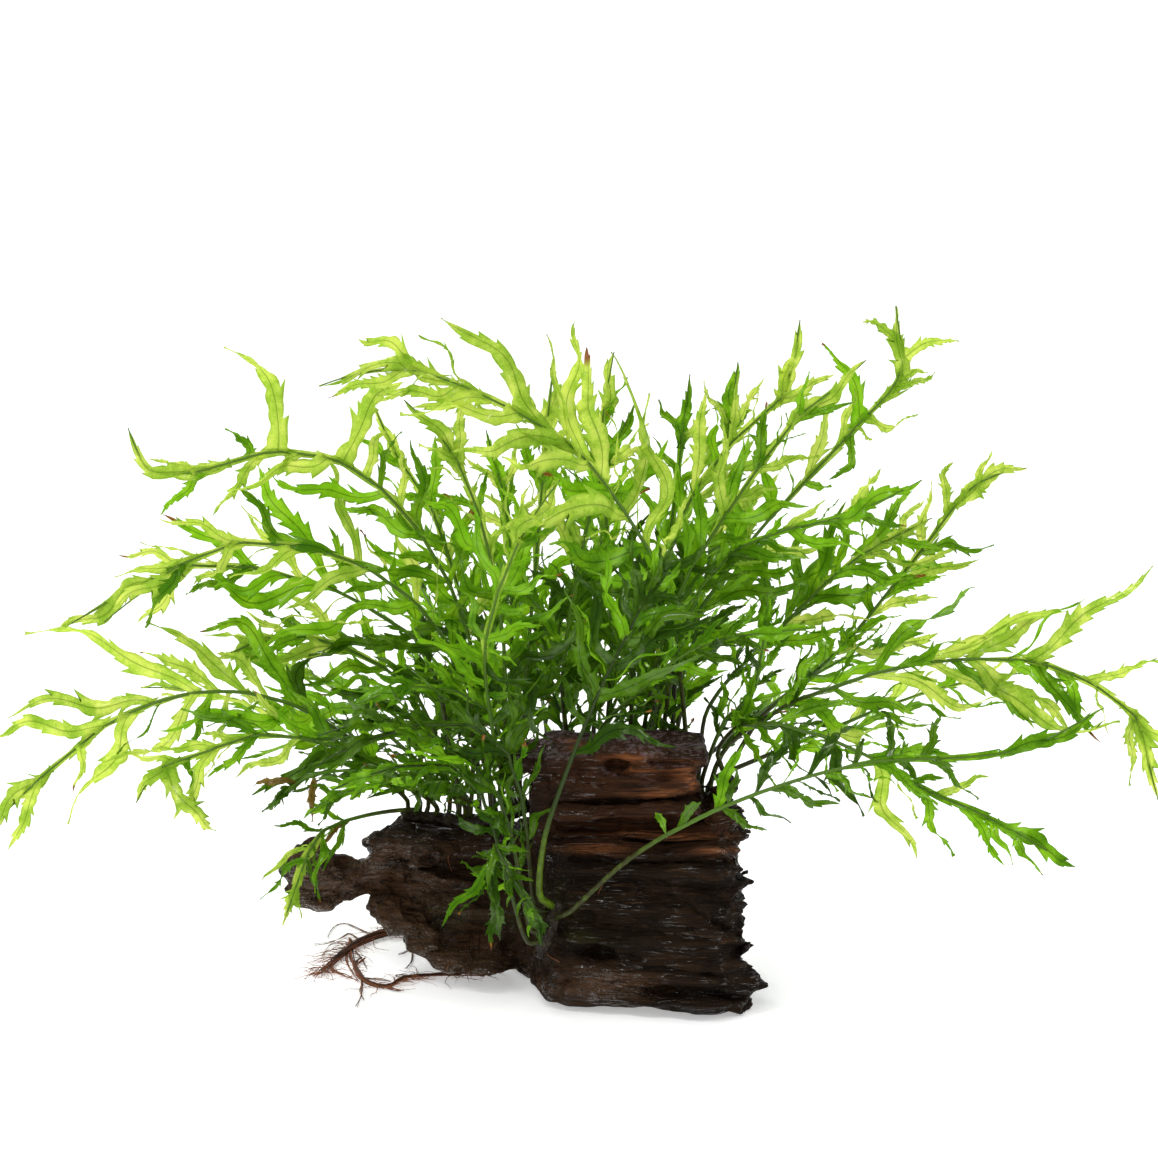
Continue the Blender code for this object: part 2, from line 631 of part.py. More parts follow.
def spine_points(frond, home, place, shift):
    """A frond's spine from its place on the rhizome, moved in depth but for its lowest part."""
    if "spine" in frond:
        path = [
            spot(across, down, depth + shift * min(1, (i + 1) / 3))
            for i, (across, down, depth) in enumerate(frond["spine"])
        ]
        return stem_points(home, place, path[0]) + path
    outward = Matrix.Rotation(math.radians(shift * FAN_TURN), 3, "Z") @ frond["outward"]
    way = outward * math.cos(frond["rise"]) + UP * math.sin(frond["rise"])
    start = home.at(place)
    path = [start + way * frond["length"] * share - UP * frond["sag"] * share**2 for share in FAN_SHARES]
    return stem_points(home, place, path[0]) + path


def settle_facing(frond):
    """The blade's normals from the tip down, which turn little where the spine runs along its facing."""
    normals = []
    last = Vector((0, 0, 0))
    for step in range(FACING_STEPS, -1, -1):
        along = frond["line"].along(step / FACING_STEPS)
        wanted = frond["facing"] - frond["facing"].dot(along) * along
        normal = wanted if step == FACING_STEPS else last + wanted * FACING_PULL
        last = (normal - normal.dot(along) * along).normalized()
        normals.insert(0, last)
    frond["normals"] = normals


def blade_frame(frond, share):
    """The spine's direction, the blade's normal and the way to its right side."""
    along = frond["line"].along(share)
    step = min(max(share, 0), 1) * FACING_STEPS
    below = min(int(step), FACING_STEPS - 1)
    normal = frond["normals"][below].lerp(frond["normals"][below + 1], step - below)
    normal = (normal - normal.dot(along) * along).normalized()
    return along, normal, along.cross(normal)


def spine_size(frond, share):
    """Half the spine's width and half its depth."""
    bare = frond["bare"]
    if share < bare:
        radius = STIPE_RADIUS + (RACHIS_RADIUS - STIPE_RADIUS) * share / bare
        return radius, radius
    blade = (share - bare) / (1 - bare)
    wing = math.sin(math.pi * min(max((blade - WING_START) / WING_SPAN, 0), 1))
    return RACHIS_RADIUS + wing * WING_HALF_WIDTH, RACHIS_RADIUS * (1 - RACHIS_TAPER * blade)


def spine_guard(frond):
    """The spine with room to its neighbours, from just past its rhizome."""
    rings = []
    for r in range(GUARD_RINGS):
        share = GUARD_START + (1 - GUARD_START) * r / (GUARD_RINGS - 1)
        width, depth = (size + CLEARANCE for size in spine_size(frond, share))
        along, normal, side = blade_frame(frond, share)
        middle = frond["line"].at(share)
        corners = ((1, 1), (-1, 1), (-1, -1), (1, -1))
        rings.append([middle + side * a * width + normal * b * depth for a, b in corners])
    return loft(rings)


def settle_spine(frond, home, crowd):
    """Moves a spine until it is clear of the wood and of the other spines."""
    moves = product(DEPTH_SHIFTS, PLACE_SHIFTS)
    for shift, move in sorted(moves, key=lambda pair: abs(pair[0]) + PLACE_COST * abs(pair[1])):
        place = min(max(frond["place"] + move, FIRST_PLACE), LAST_PLACE)
        frond["line"] = Line(spine_points(frond, home, place, shift))
        settle_facing(frond)
        guard = spine_guard(frond)
        if crowd.is_clear(guard):
            crowd.add(frond["name"] + " spine", guard)
            return
    raise ValueError(frond["name"] + " has no clear way past " + crowd.met)


def ruled_pinna(frond, blade, side, chance):
    """A pinna by the rule: long near the foot of the blade, shorter and steeper towards its tip."""
    share = frond["bare"] + (1 - frond["bare"]) * blade * LAST_PAIR
    foot = FOOT_LENGTH + (1 - FOOT_LENGTH) * min(1, blade * FOOT_RISE)
    envelope = (1 - LENGTH_FALL * blade**LENGTH_POWER) * foot
    length = max(frond["longest"] * envelope * chance.uniform(*LENGTH_SPREAD), LEAST_PINNA)
    angle = math.radians(FOOT_ANGLE - ANGLE_FALL * blade + chance.uniform(-ANGLE_SPREAD, ANGLE_SPREAD))
    along, normal, right = blade_frame(frond, share)
    out = along * math.cos(angle) + right * side * math.sin(angle)
    curve = along * chance.uniform(*BEND_AHEAD) + normal * chance.uniform(*BEND_ACROSS)
    curve -= UP * chance.uniform(*DROOP)
    base = frond["line"].at(share)
    return {"share": share, "side": side, "turn": chance.uniform(-TURN_SPREAD, TURN_SPREAD), "read": False,
            "middle": base + length * (out * PINNA_MIDDLE + curve * PINNA_MIDDLE**2),
            "tip": base + length * (out + curve)}


def blade_spot(point, base, normal, behind):
    """The place on the plane of a blade that the front view shows at this point, moved a little in depth."""
    near, far = spot(*point, base.y - MOST_LEAN), spot(*point, base.y + MOST_LEAN)
    share = (base - near).dot(normal) / (far - near).dot(normal)
    return spot(*point, near.lerp(far, min(max(share, 0), 1)).y + behind)


def read_pinna(frond, slots, points, chance):
    """A pinna read in the picture, in place of the nearest one by the rule on its side."""
    line = frond["line"]
    base, middle, tip = points[:2], points[2:4], points[4:]
    shares = [i / READ_STEPS for i in range(READ_STEPS + 1)]
    share = min(shares, key=lambda share: (seen_at(line.at(share)) - Vector(base)).length)
    along, normal, right = blade_frame(frond, share)
    reach = chance.uniform(*READ_REACH)
    middle = blade_spot(middle, line.at(share), normal, reach * PINNA_MIDDLE)
    tip = blade_spot(tip, line.at(share), normal, reach)
    side = 1 if (middle - line.at(share)).dot(right) > 0 else -1
    free = [slot for slot in slots if slot["side"] == side and not slot["read"]]
    slot = min(free, key=lambda slot: abs(slot["share"] - share))
    slot.update(share=share, middle=middle, tip=tip, read=True, turn=chance.uniform(-READ_TURN, READ_TURN))


def plan_pinnae(frond, seed):
    """Each pinna's place on the spine, side, middle and tip, from the foot of the blade up.

    Pinnae at the same place are a pair, one to each side; other places are a pinna's base apart.
    """
    chance = random.Random(seed)
    slots = []
    for pair in range(frond["pairs"]):
        for side in (1, -1):
            slots.append(ruled_pinna(frond, (pair + PAIR_SET) / frond["pairs"], side, chance))
    for points in frond["pinnae"]:
        read_pinna(frond, slots, points, chance)
    slots.sort(key=lambda slot: slot["share"])
    step = PINNA_BASE / frond["line"].length
    places = sorted({slot["share"] for slot in slots})
    spaced = list(places)
    for i in range(1, len(spaced)):
        spaced[i] = max(spaced[i], spaced[i - 1] + step)
    for i in range(len(spaced) - 1, -1, -1):
        spaced[i] = min(spaced[i], (spaced + [1 - step])[i + 1] - step)
    for slot in slots:
        slot["share"] = spaced[places.index(slot["share"])]
    return slots


def pinna_sections(frond, slot, turn, bend, cut):
    """A pinna's base, its middle section as width and normal half vectors, and its tip, once changed."""
    base = frond["line"].at(slot["share"])
    along, normal, right = blade_frame(frond, slot["share"])
    lift = normal * bend * (slot["tip"] - base).length * cut
    middle = base.lerp(slot["middle"], cut) + lift * PINNA_MIDDLE**2
    tip = base.lerp(slot["tip"], cut) + lift
    way = (tip - base).normalized()
    flat = (normal - normal.dot(way) * way).normalized()
    flat = Matrix.Rotation(math.radians(slot["turn"] + turn), 3, way) @ flat
    half_width = min(PINNA_SLENDERNESS * (tip - base).length + LEAST_HALF_WIDTH, MOST_HALF_WIDTH)
    return base, middle, tip, flat.cross(way) * half_width, flat * BLADE_HALF_THICKNESS


def pinna_guard(sections, skipped):
    """A pinna with room to its neighbours, but for a first stretch that is skipped."""
    base, middle, tip, wide, flat = sections
    room_wide, room_flat = wide.normalized() * CLEARANCE, flat.normalized() * CLEARANCE
    corners = ((1, 1), (-1, 1), (-1, -1), (1, -1))
    start = base + (middle - base).normalized() * skipped
    narrow = wide.normalized() * PINNA_BASE / 2
    rings = [
        [start + (narrow + room_wide) * a + (flat + room_flat) * b for a, b in corners],
        [middle + (wide + room_wide) * a + (flat + room_flat) * b for a, b in corners],
        [tip + room_wide * a + room_flat * b for a, b in corners],
    ]
    return loft(rings)


def settle_pinna(frond, slot, crowd):
    """Turns, bends and shortens a pinna until it is clear; one that never is is left out."""
    slot["sections"] = None
    half = PINNA_BASE / 2 / frond["line"].length
    near = [spine_stretch(frond, 0, slot["share"] - half), spine_stretch(frond, slot["share"] + half, 1)]
    for change in PINNA_CHANGES:
        sections = pinna_sections(frond, slot, *change)
        guard = pinna_guard(sections, PINNA_BASE / 2)
        body = tree_of(pinna_body(frond, slot, sections))
        if any(body.overlap(own) for own in near + frond["own"]):
            continue
        if crowd.is_clear(guard, (frond["name"], frond["name"] + " spine")):
            crowd.add(frond["name"], guard)
            frond["own"].append(body)
            slot["sections"] = sections
            return


def spine_ring(frond, share):
    """The three corners of the spine's section: right, left and the ridge on its face."""
    along, normal, side = blade_frame(frond, share)
    half_width, half_depth = spine_size(frond, share)
    middle = frond["line"].at(share)
    low = middle - normal * half_depth * KEEL
    return [low + side * half_width, low - side * half_width, middle + normal * half_depth]


def root_corners(frond, slot):
    """The corners of the face on the side of the spine that a pinna is drawn out of, seen from outside."""
    half = PINNA_BASE / 2 / frond["line"].length
    low, high = (spine_ring(frond, slot["share"] + step) for step in (-half, half))
    edge = 0 if slot["side"] > 0 else 1
    corners = [high[edge], high[2], low[2], low[edge]]
    return corners if slot["side"] > 0 else corners[::-1]


def spine_stretch(frond, first, last):
    """The surface of a stretch of the spine, to try a pinna against."""
    count = max(round((last - first) * SPINE_STEPS), 2)
    shares = [first + (last - first) * step / count for step in range(count + 1)]
    return tree_of(loft([spine_ring(frond, share) for share in shares]))


def pinna_outline(sections, roots):
    """The corners of a pinna's middle section, in the order of the corners of its root."""
    base, middle, tip, wide, flat = sections
    corners = [middle + wide * a + flat * b for a, b in ((1, 1), (-1, 1), (-1, -1), (1, -1))]
    loops = [corners[first:] + corners[:first] for first in range(4)]
    moved = [root - base + middle for root in roots]
    return min(loops, key=lambda loop: sum((a - b).length_squared for a, b in zip(loop, moved)))


def pinna_body(frond, slot, sections):
    """A pinna as it is drawn, but for the first bit that joins the spine."""
    middle, tip = sections[1:3]
    roots = root_corners(frond, slot)
    outline = pinna_outline(sections, roots)
    start = [root.lerp(corner, ROOT_SKIPPED) for root, corner in zip(roots, outline)]
    return loft([start, outline, [tip + (corner - middle) * TIP_SHARE for corner in outline]])


def draw_pinna(solid, face, sections):
    """Draws a pinna out of a face on the side of the spine."""
    outline = pinna_outline(sections, [corner.co for corner in face.verts])
    point_out(solid, draw_out(solid, face, outline), sections[2])


def side_face(corner, beside, above):
    """The face of the spine that has a corner of its lower ring, the next one and the one above."""
    return next(face for face in corner.link_faces if beside in face.verts and above in face.verts)


def frond_solid(frond):
    """One closed solid: the spine drawn through its rings, then each pinna drawn out of its side."""
    half = PINNA_BASE / 2 / frond["line"].length
    bare = frond["bare"]
    shares = [0, *(GUARD_START + bare * share for share in BARE_RINGS)]
    stretches = []
    held = [slot for slot in frond["slots"] if slot["sections"]]
    for lower, slot in zip([None] + held, held):
        foot = slot["share"] - half
        if lower and lower["share"] == slot["share"]:
            stretches.append(stretches[-1])
            continue
        if foot > shares[-1] + LONGEST_STRETCH:
            shares.append((shares[-1] + foot) / 2)
        if foot > shares[-1] + half * SAME_PLACE:
            shares.append(foot)
        stretches.append(len(shares) - 1)
        shares.append(slot["share"] + half)
    shares.append((shares[-1] + 1) / 2)
    rings = [spine_ring(frond, share) for share in shares]
    solid = bmesh.new()
    first = [solid.verts.new(place) for place in rings[0]]
    end = solid.faces.new(first)
    sides = []
    for ring in rings[1:]:
        lower = list(end.verts)
        end = draw_out(solid, end, ring)
        sides.append([side_face(lower[i], lower[i - 2], end.verts[i]) for i in range(3)])
    point_out(solid, end, frond["line"].at(1))
    solid.faces.new(first)
    face_out(solid)
    for slot, stretch in zip(held, stretches):
        draw_pinna(solid, sides[stretch][2 if slot["side"] > 0 else 1], slot["sections"])
    return solid


def cut_places(solid):
    """Where faces of a solid cut through others that they don't meet at a corner."""
    trial = solid.copy()
    bmesh.ops.triangulate(trial, faces=trial.faces)
    trial.faces.ensure_lookup_table()
    tree = tree_of(trial)
    pairs = [(trial.faces[a], trial.faces[b]) for a, b in tree.overlap(tree) if a < b]
    places = [
        face.calc_center_median()
        for pair in pairs
        if not set(pair[0].verts) & set(pair[1].verts)
        for face in pair
    ]
    trial.free()
    return places


def distance_to(slot, place):
    """How far a place is from the middle line of a pinna."""
    ends = slot["sections"][:3]
    near = []
    for a, b in zip(ends, ends[1:]):
        foot, share = intersect_point_line(place, a, b)
        near.append((place - a.lerp(b, min(max(share, 0), 1))).length)
    return min(near)


def guilt_of(slot, places):
    """How many of these places are near a pinna, with some forgiven to one that was read."""
    return sum(distance_to(slot, place) < MOST_HALF_WIDTH for place in places) - READ_WORTH * slot["read"]


def whole_frond(frond):
    """The frond's solid. A pinna that would cut through the rest of it is left out, a read one last."""
    while True:
        solid = frond_solid(frond)
        places = cut_places(solid)
        if not places:
            return solid
        held = [slot for slot in frond["slots"] if slot["sections"]]
        if not held:
            raise ValueError(frond["name"] + " has a spine that cuts itself")
        guilty = max(held, key=lambda slot: guilt_of(slot, places))
        guilty["sections"] = None


def main():
    clear_scene()
    crowd = Crowd()
    brown = colour_of("driftwood", (0.045, 0.026, 0.018), 0.45)
    pieces = {
        "driftwood_main": main_wood(),
        "driftwood_upper_block": lump_wood(BLOCK_STATIONS, BLOCK_SECTION, 0.8),
        "driftwood_back_spur": lump_wood(SPUR_STATIONS, SPUR_SECTION, 0.5),
        "driftwood_left_branch": branch_wood(),
    }
    wood = tree_of(pieces["driftwood_main"])
    for name, solid in pieces.items():
        crowd.add(name, solid)
        finish(name, solid, brown)

    olive = colour_of("rhizome", (0.07, 0.10, 0.025), 0.6)
    homes = {}
    for name, (side, places) in RHIZOMES.items():
        homes[name] = Line(lay_on_wood(side, places, wood))
        solid = tube(homes[name], rhizome_radius, RHIZOME_SIDES, RHIZOME_RINGS)
        crowd.add(name, solid)
        finish(name, solid, olive)

    dark = colour_of("root", (0.09, 0.04, 0.02), 0.7)
    for name, (path, first, last) in ROOTS.items():
        radii = [first + (last - first) * i / (len(path) - 1) for i in range(len(path))]
        line = Line([floor_spot(*point, radius + ROOT_LIFT) for point, radius in zip(path, radii)])
        solid = tube(line, lambda share: first + (last - first) * share, ROOT_SIDES, ROOT_RINGS)
        crowd.add(name, solid)
        finish(name, solid, dark)

    green = colour_of("frond", (0.10, 0.30, 0.03), 0.35)
    for number, frond in enumerate(FRONDS, 1):
        frond["name"] = f"frond_{number:02d}"
        settle_spine(frond, homes[frond["home"]], crowd)
        frond["slots"] = plan_pinnae(frond, number)
        frond["own"] = []
    for read in (True, False):
        for frond in FRONDS:
            for slot in frond["slots"]:
                if slot["read"] == read:
                    settle_pinna(frond, slot, crowd)
    for frond in FRONDS:
        finish(frond["name"], whole_frond(frond), green)
    lost = sum(slot["sections"] is None for frond in FRONDS for slot in frond["slots"])
    print(len(FRONDS), "fronds,", lost, "pinnae left out")


main()
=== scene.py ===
import math
import random

import bmesh
import bpy
import numpy as np
from mathutils import Matrix, Vector, noise
from mathutils.bvhtree import BVHTree


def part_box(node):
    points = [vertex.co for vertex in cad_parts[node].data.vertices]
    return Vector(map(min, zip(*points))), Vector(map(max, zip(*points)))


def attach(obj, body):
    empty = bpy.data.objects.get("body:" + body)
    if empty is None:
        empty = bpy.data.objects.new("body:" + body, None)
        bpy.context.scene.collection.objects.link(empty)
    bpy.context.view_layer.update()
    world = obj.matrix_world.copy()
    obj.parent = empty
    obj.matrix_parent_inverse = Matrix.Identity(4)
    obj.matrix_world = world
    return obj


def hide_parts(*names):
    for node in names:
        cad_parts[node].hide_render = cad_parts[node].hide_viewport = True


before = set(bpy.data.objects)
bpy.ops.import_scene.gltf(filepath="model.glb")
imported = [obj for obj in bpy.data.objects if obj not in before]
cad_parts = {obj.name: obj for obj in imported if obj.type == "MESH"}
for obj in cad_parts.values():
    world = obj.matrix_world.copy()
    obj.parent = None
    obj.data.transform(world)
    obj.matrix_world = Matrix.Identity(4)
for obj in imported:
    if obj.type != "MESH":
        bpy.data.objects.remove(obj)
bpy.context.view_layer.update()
mm = 0.001
up = np.array((0.0, 0.0, 1.0))
bpy.ops.object.select_all(action="DESELECT")


# Node sums: a value knows the sheet of nodes that it is on
class Value:
    def __init__(self, sheet, socket):
        self.sheet = sheet
        self.socket = socket

    def sum(self, operation, *values):
        return self.sheet.add("ShaderNodeMath", {"operation": operation}, dict(enumerate(values)))

    def __add__(self, other):
        return self.sum("ADD", self, other)

    def __radd__(self, other):
        return self.sum("ADD", other, self)

    def __sub__(self, other):
        return self.sum("SUBTRACT", self, other)

    def __rsub__(self, other):
        return self.sum("SUBTRACT", other, self)

    def __mul__(self, other):
        return self.sum("MULTIPLY", self, other)

    def __rmul__(self, other):
        return self.sum("MULTIPLY", other, self)

    def __truediv__(self, other):
        return self.sum("DIVIDE", self, other)

    def __pow__(self, other):
        return self.sum("POWER", self, other)

    def size(self):
        return self.sum("ABSOLUTE", self)

    def sine(self):
        return self.sum("SINE", self)


class Sheet:
    def __init__(self, name):
        self.material = bpy.data.materials.new(name)
        self.material.use_nodes = True
        self.tree = self.material.node_tree
        self.tree.nodes.clear()

    def add(self, kind, settings=None, inputs=None, output=0):
        node = self.tree.nodes.new(kind)
        for key, value in (settings or {}).items():
            setattr(node, key, value)
        for key, value in (inputs or {}).items():
            if isinstance(value, Value):
                self.tree.links.new(value.socket, node.inputs[key])
            else:
                node.inputs[key].default_value = value
        return Value(self, node.outputs[output])

    # Parts of a place: on the object, or on one of its own maps
    def place(self, scale=(1, 1, 1), turn=(0, 0, 0)):
        coordinates = self.add("ShaderNodeTexCoord", output=3)
        return self.add("ShaderNodeMapping", {}, {"Vector": coordinates, "Scale": scale, "Rotation": turn})

    def map(self, name):
        split = self.tree.nodes.new("ShaderNodeSeparateXYZ")
        self.tree.links.new(self.add("ShaderNodeUVMap", {"uv_map": name}).socket, split.inputs[0])
        return Value(self, split.outputs[0]), Value(self, split.outputs[1])

    def noise(self, where, scale, detail=3, rough=0.55, warp=0.0):
        return self.add("ShaderNodeTexNoise", {}, {
            "Vector": where, "Scale": scale, "Detail": detail, "Roughness": rough, "Distortion": warp})

    def step(self, value, low, high, first=0.0, last=1.0):
        return self.add("ShaderNodeMapRange", {"interpolation_type": "SMOOTHSTEP"}, {
            "Value": value, "From Min": low, "From Max": high, "To Min": first, "To Max": last})

    def blend(self, share, first, second):
        return self.add("ShaderNodeMix", {"data_type": "RGBA"}, {
            0: share, 6: colourOf(first), 7: colourOf(second)}, 2)

    def bump(self, height, strength, distance):
        return self.add("ShaderNodeBump", {}, {"Height": height, "Strength": strength, "Distance": distance})

    def finish(self, shader):
        last = self.tree.nodes.new("ShaderNodeOutputMaterial")
        self.tree.links.new(shader.socket, last.inputs["Surface"])
        return self.material


def colourOf(colour):
    if isinstance(colour, Value):
        return colour
    return (*colour, 1.0)


# The picture's own view: a square of 1158 points, seen from in front and a little above
view = {"side": 1158, "distance": 1.23, "tilt": math.radians(15), "aim": (-0.0017, 0, 0.2009), "lens": 85, "sensor": 36}


def viewFrame():
    ahead = Vector((0, math.cos(view["tilt"]), -math.sin(view["tilt"])))
    above = Vector((0, math.sin(view["tilt"]), math.cos(view["tilt"])))
    return Vector(view["aim"]) - ahead * view["distance"], ahead, above


def viewRay(across, down):
    eye, ahead, above = viewFrame()
    step = view["sensor"] / view["lens"] / view["side"]
    half = view["side"] / 2
    return eye, (ahead + Vector((across - half, 0, 0)) * step + above * (half - down) * step).normalized()


def seenOn(tree, across, down):
    eye, ray = viewRay(across, down)
    hit = tree.ray_cast(eye, ray)[0]
    return hit if hit is not None else seenAt(across, down, 0.0)


def seenAt(across, down, depth):
    eye, ray = viewRay(across, down)
    return eye + ray * ((depth - eye.y) / ray.y)


def seenOver(across, down, height):
    eye, ray = viewRay(across, down)
    return eye + ray * ((height - eye.z) / ray.z)


def pictureOf(points):
    eye, ahead, above = (np.array(part) for part in viewFrame())
    ray = points - eye
    size = view["side"] * view["lens"] / view["sensor"] / (ray @ ahead)
    return np.stack((view["side"] / 2 + ray[:, 0] * size, view["side"] / 2 - (ray @ above) * size), -1)


# Mesh helpers
def clearPick():
    if bpy.context.object and bpy.context.object.mode != "OBJECT":
        bpy.ops.object.mode_set(mode="OBJECT")
    bpy.ops.object.select_all(action="DESELECT")


def choose(piece):
    clearPick()
    piece.select_set(True)
    bpy.context.view_layer.objects.active = piece


def pickPoints(piece, test):
    shape = bmesh.from_edit_mesh(piece.data)
    for vert in shape.verts:
        vert.select_set(test(vert))
    shape.select_flush_mode()
    bmesh.update_edit_mesh(piece.data)


def applyAll(piece):
    choose(piece)
    for modifier in list(piece.modifiers):
        bpy.ops.object.modifier_apply(modifier=modifier.name)


def mergedCopy(node, name):
    shape = bmesh.new()
    shape.from_mesh(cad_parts[node].data)
    bmesh.ops.remove_doubles(shape, verts=shape.verts, dist=0.01 * mm)
    mesh = bpy.data.meshes.new(name)
    shape.to_mesh(mesh)
    shape.free()
    piece = bpy.data.objects.new(name, mesh)
    bpy.context.scene.collection.objects.link(piece)
    return piece


def pointsOf(piece):
    flat = np.empty(len(piece.data.vertices) * 3)
    piece.data.vertices.foreach_get("co", flat)
    return flat.reshape(-1, 3)


def normalsOf(piece):
    flat = np.empty(len(piece.data.vertices) * 3)
    piece.data.vertex_normals.foreach_get("vector", flat)
    return flat.reshape(-1, 3)


def putPoints(piece, points):
    piece.data.vertices.foreach_set("co", np.ascontiguousarray(points).ravel())
    piece.data.update()


def unit(vectors):
    return vectors / np.maximum(np.linalg.norm(vectors, axis=-1, keepdims=True), 1e-12)


def smooth(value, low, high):
    share = np.clip((value - low) / (high - low), 0, 1)
    return share * share * (3 - 2 * share)


# Many shells gathered into one mesh, with their maps and finishes
class Gathered:
    def __init__(self):
        self.points = []
        self.faces = []
        self.blade = []
        self.tone = []
        self.finish = []
        self.count = 0

    def add(self, points, faces, blade, tone, finish):
        self.points.append(points)
        self.faces.append(faces + self.count)
        self.blade.append(blade)
        self.tone.append(np.tile(tone, (len(points), 1)))
        self.finish.append(np.full(len(faces), finish))
        self.count += len(points)

    def piece(self, name, materials):
        points, faces = np.concatenate(self.points), np.concatenate(self.faces)
        mesh = bpy.data.meshes.new(name)
        mesh.vertices.add(len(points))
        mesh.vertices.foreach_set("co", points.ravel())
        mesh.loops.add(faces.size)
        mesh.loops.foreach_set("vertex_index", faces.ravel())
        mesh.polygons.add(len(faces))
        mesh.polygons.foreach_set("loop_start", np.arange(0, faces.size, faces.shape[1]))
        for material in materials:
            mesh.materials.append(material)
        mesh.polygons.foreach_set("material_index", np.concatenate(self.finish))
        mesh.update(calc_edges=True)
        for title, values in (("blade", self.blade), ("tone", self.tone)):
            layer = mesh.uv_layers.new(name=title)
            layer.uv.foreach_set("vector", np.concatenate(values)[faces.ravel()].ravel())
        mesh.shade_smooth()
        mesh.validate()
        made = bpy.data.objects.new(name, mesh)
        bpy.context.scene.collection.objects.link(made)
        return made


# A smooth path through points, read by the share of its length
class Path:
    def __init__(self, points, steps=12):
        points = np.array([tuple(point) for point in points])
        ends = np.vstack((2 * points[0] - points[1], points, 2 * points[-1] - points[-2]))
        line = []
        for a, b, c, d in zip(ends, ends[1:], ends[2:], ends[3:]):
            for t in np.arange(steps) / steps:
                line.append(0.5 * (2 * b + (c - a) * t + (2 * a - 5 * b + 4 * c - d) * t**2
                                   + (3 * b - a - 3 * c + d) * t**3))
        self.line = np.array(line + [points[-1]])
        self.reach = np.concatenate(([0], np.cumsum(np.linalg.norm(np.diff(self.line, axis=0), axis=1))))
        self.length = self.reach[-1]

    def at(self, shares):
        wanted = np.asarray(shares) * self.length
        return np.stack([np.interp(wanted, self.reach, self.line[:, axis]) for axis in range(3)], -1)

    def along(self, shares):
        shares = np.asarray(shares)
        return unit(self.at(np.minimum(shares + 0.01, 1)) - self.at(np.maximum(shares - 0.01, 0)))

    def nearest(self, point):
        return float(self.reach[np.argmin(np.linalg.norm(self.line - point, axis=1))] / self.length)


def tube(path, radiusAt, sides, rings, first=0.0, last=1.0):
    shares = np.linspace(first, last, rings)
    middles, along, radii = path.at(shares), path.along(shares), radiusAt(shares)
    across = np.cross(along[0], up if abs(along[0][2]) < 0.9 else (1, 0, 0))
    turns = np.arange(sides) * 2 * math.pi / sides
    points = []
    for middle, way, radius in zip(middles, along, radii):
        across = unit(across - across.dot(way) * way)
        other = np.cross(way, across)
        points.append(middle + radius * (np.outer(np.cos(turns), across) + np.outer(np.sin(turns), other)))
    points = np.concatenate(points + [middles[:1], middles[-1:]])
    faces = []
    for ring in range(rings - 1):
        for side in range(sides):
            a, b = ring * sides + side, ring * sides + (side + 1) % sides
            faces += [(a, b, b + sides), (a, b + sides, a + sides)]
    start, end = rings * sides, rings * sides + 1
    top = (rings - 1) * sides
    for side in range(sides):
        other = (side + 1) % sides
        faces += [(start, other, side), (end, top + side, top + other)]
    share = np.concatenate((np.repeat(shares, sides), [first, last]))
    around = np.concatenate((np.tile(turns / (2 * math.pi), rings), [0.5, 0.5]))
    return points, np.array(faces), np.stack((share, around), -1)


print("start: helpers ready,", len(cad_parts), "solids in the frame")

# Leaf blanks: flat blades of length 1 and half width 1, toothed, to be bent into place.
# Each stage of a tooth has its share of the half width, and how many rows it leans ahead
stages = {
    "notch": (0.50, -0.2), "low": (0.60, 0.0), "rise": (0.70, 0.2), "shoulder": (0.84, 0.5),
    "tip": (1.08, 1.3), "longTip": (1.42, 2.3), "flat": (0.70, 0.0), "full": (0.80, 0.1),
}
teeth = {
    "small": ["low", "rise", "tip"],
    "medium": ["notch", "low", "rise", "shoulder", "tip"],
    "large": ["notch", "low", "rise", "rise", "shoulder", "longTip"],
    "smooth": ["flat", "full", "full", "flat"],
    "long": ["flat", "full", "full", "full", "full", "flat", "flat"],
}
blanks = {
    "hookedA": {"rows": 32, "teeth": ("medium", "large", "smooth", "medium"), "seed": 3},
    "hookedB": {"rows": 32, "teeth": ("medium", "smooth", "large", "small"), "seed": 8},
    "wavyA": {"rows": 26, "teeth": ("small", "smooth", "medium"), "seed": 21},
    "wavyB": {"rows": 26, "teeth": ("smooth", "small", "long", "medium"), "seed": 5},
    "plain": {"rows": 24, "teeth": ("long", "smooth", "long", "small"), "seed": 26},
    "fine": {"rows": 32, "teeth": ("small", "medium", "small", "smooth"), "seed": 14},
    "deep": {"rows": 26, "teeth": ("large", "medium", "large", "smooth"), "seed": 11},
    "shortA": {"rows": 16, "teeth": ("medium", "smooth"), "seed": 2},
    "shortB": {"rows": 14, "teeth": ("smooth", "small"), "seed": 7},
}
blade = {"columns": 4, "thickness": 0.22 * mm, "rib": 2.4}


def stageRows(settings, chance):
    found = []
    while len(found) < settings["rows"] - 1:
        found += teeth[chance.choice(settings["teeth"])]
    return found


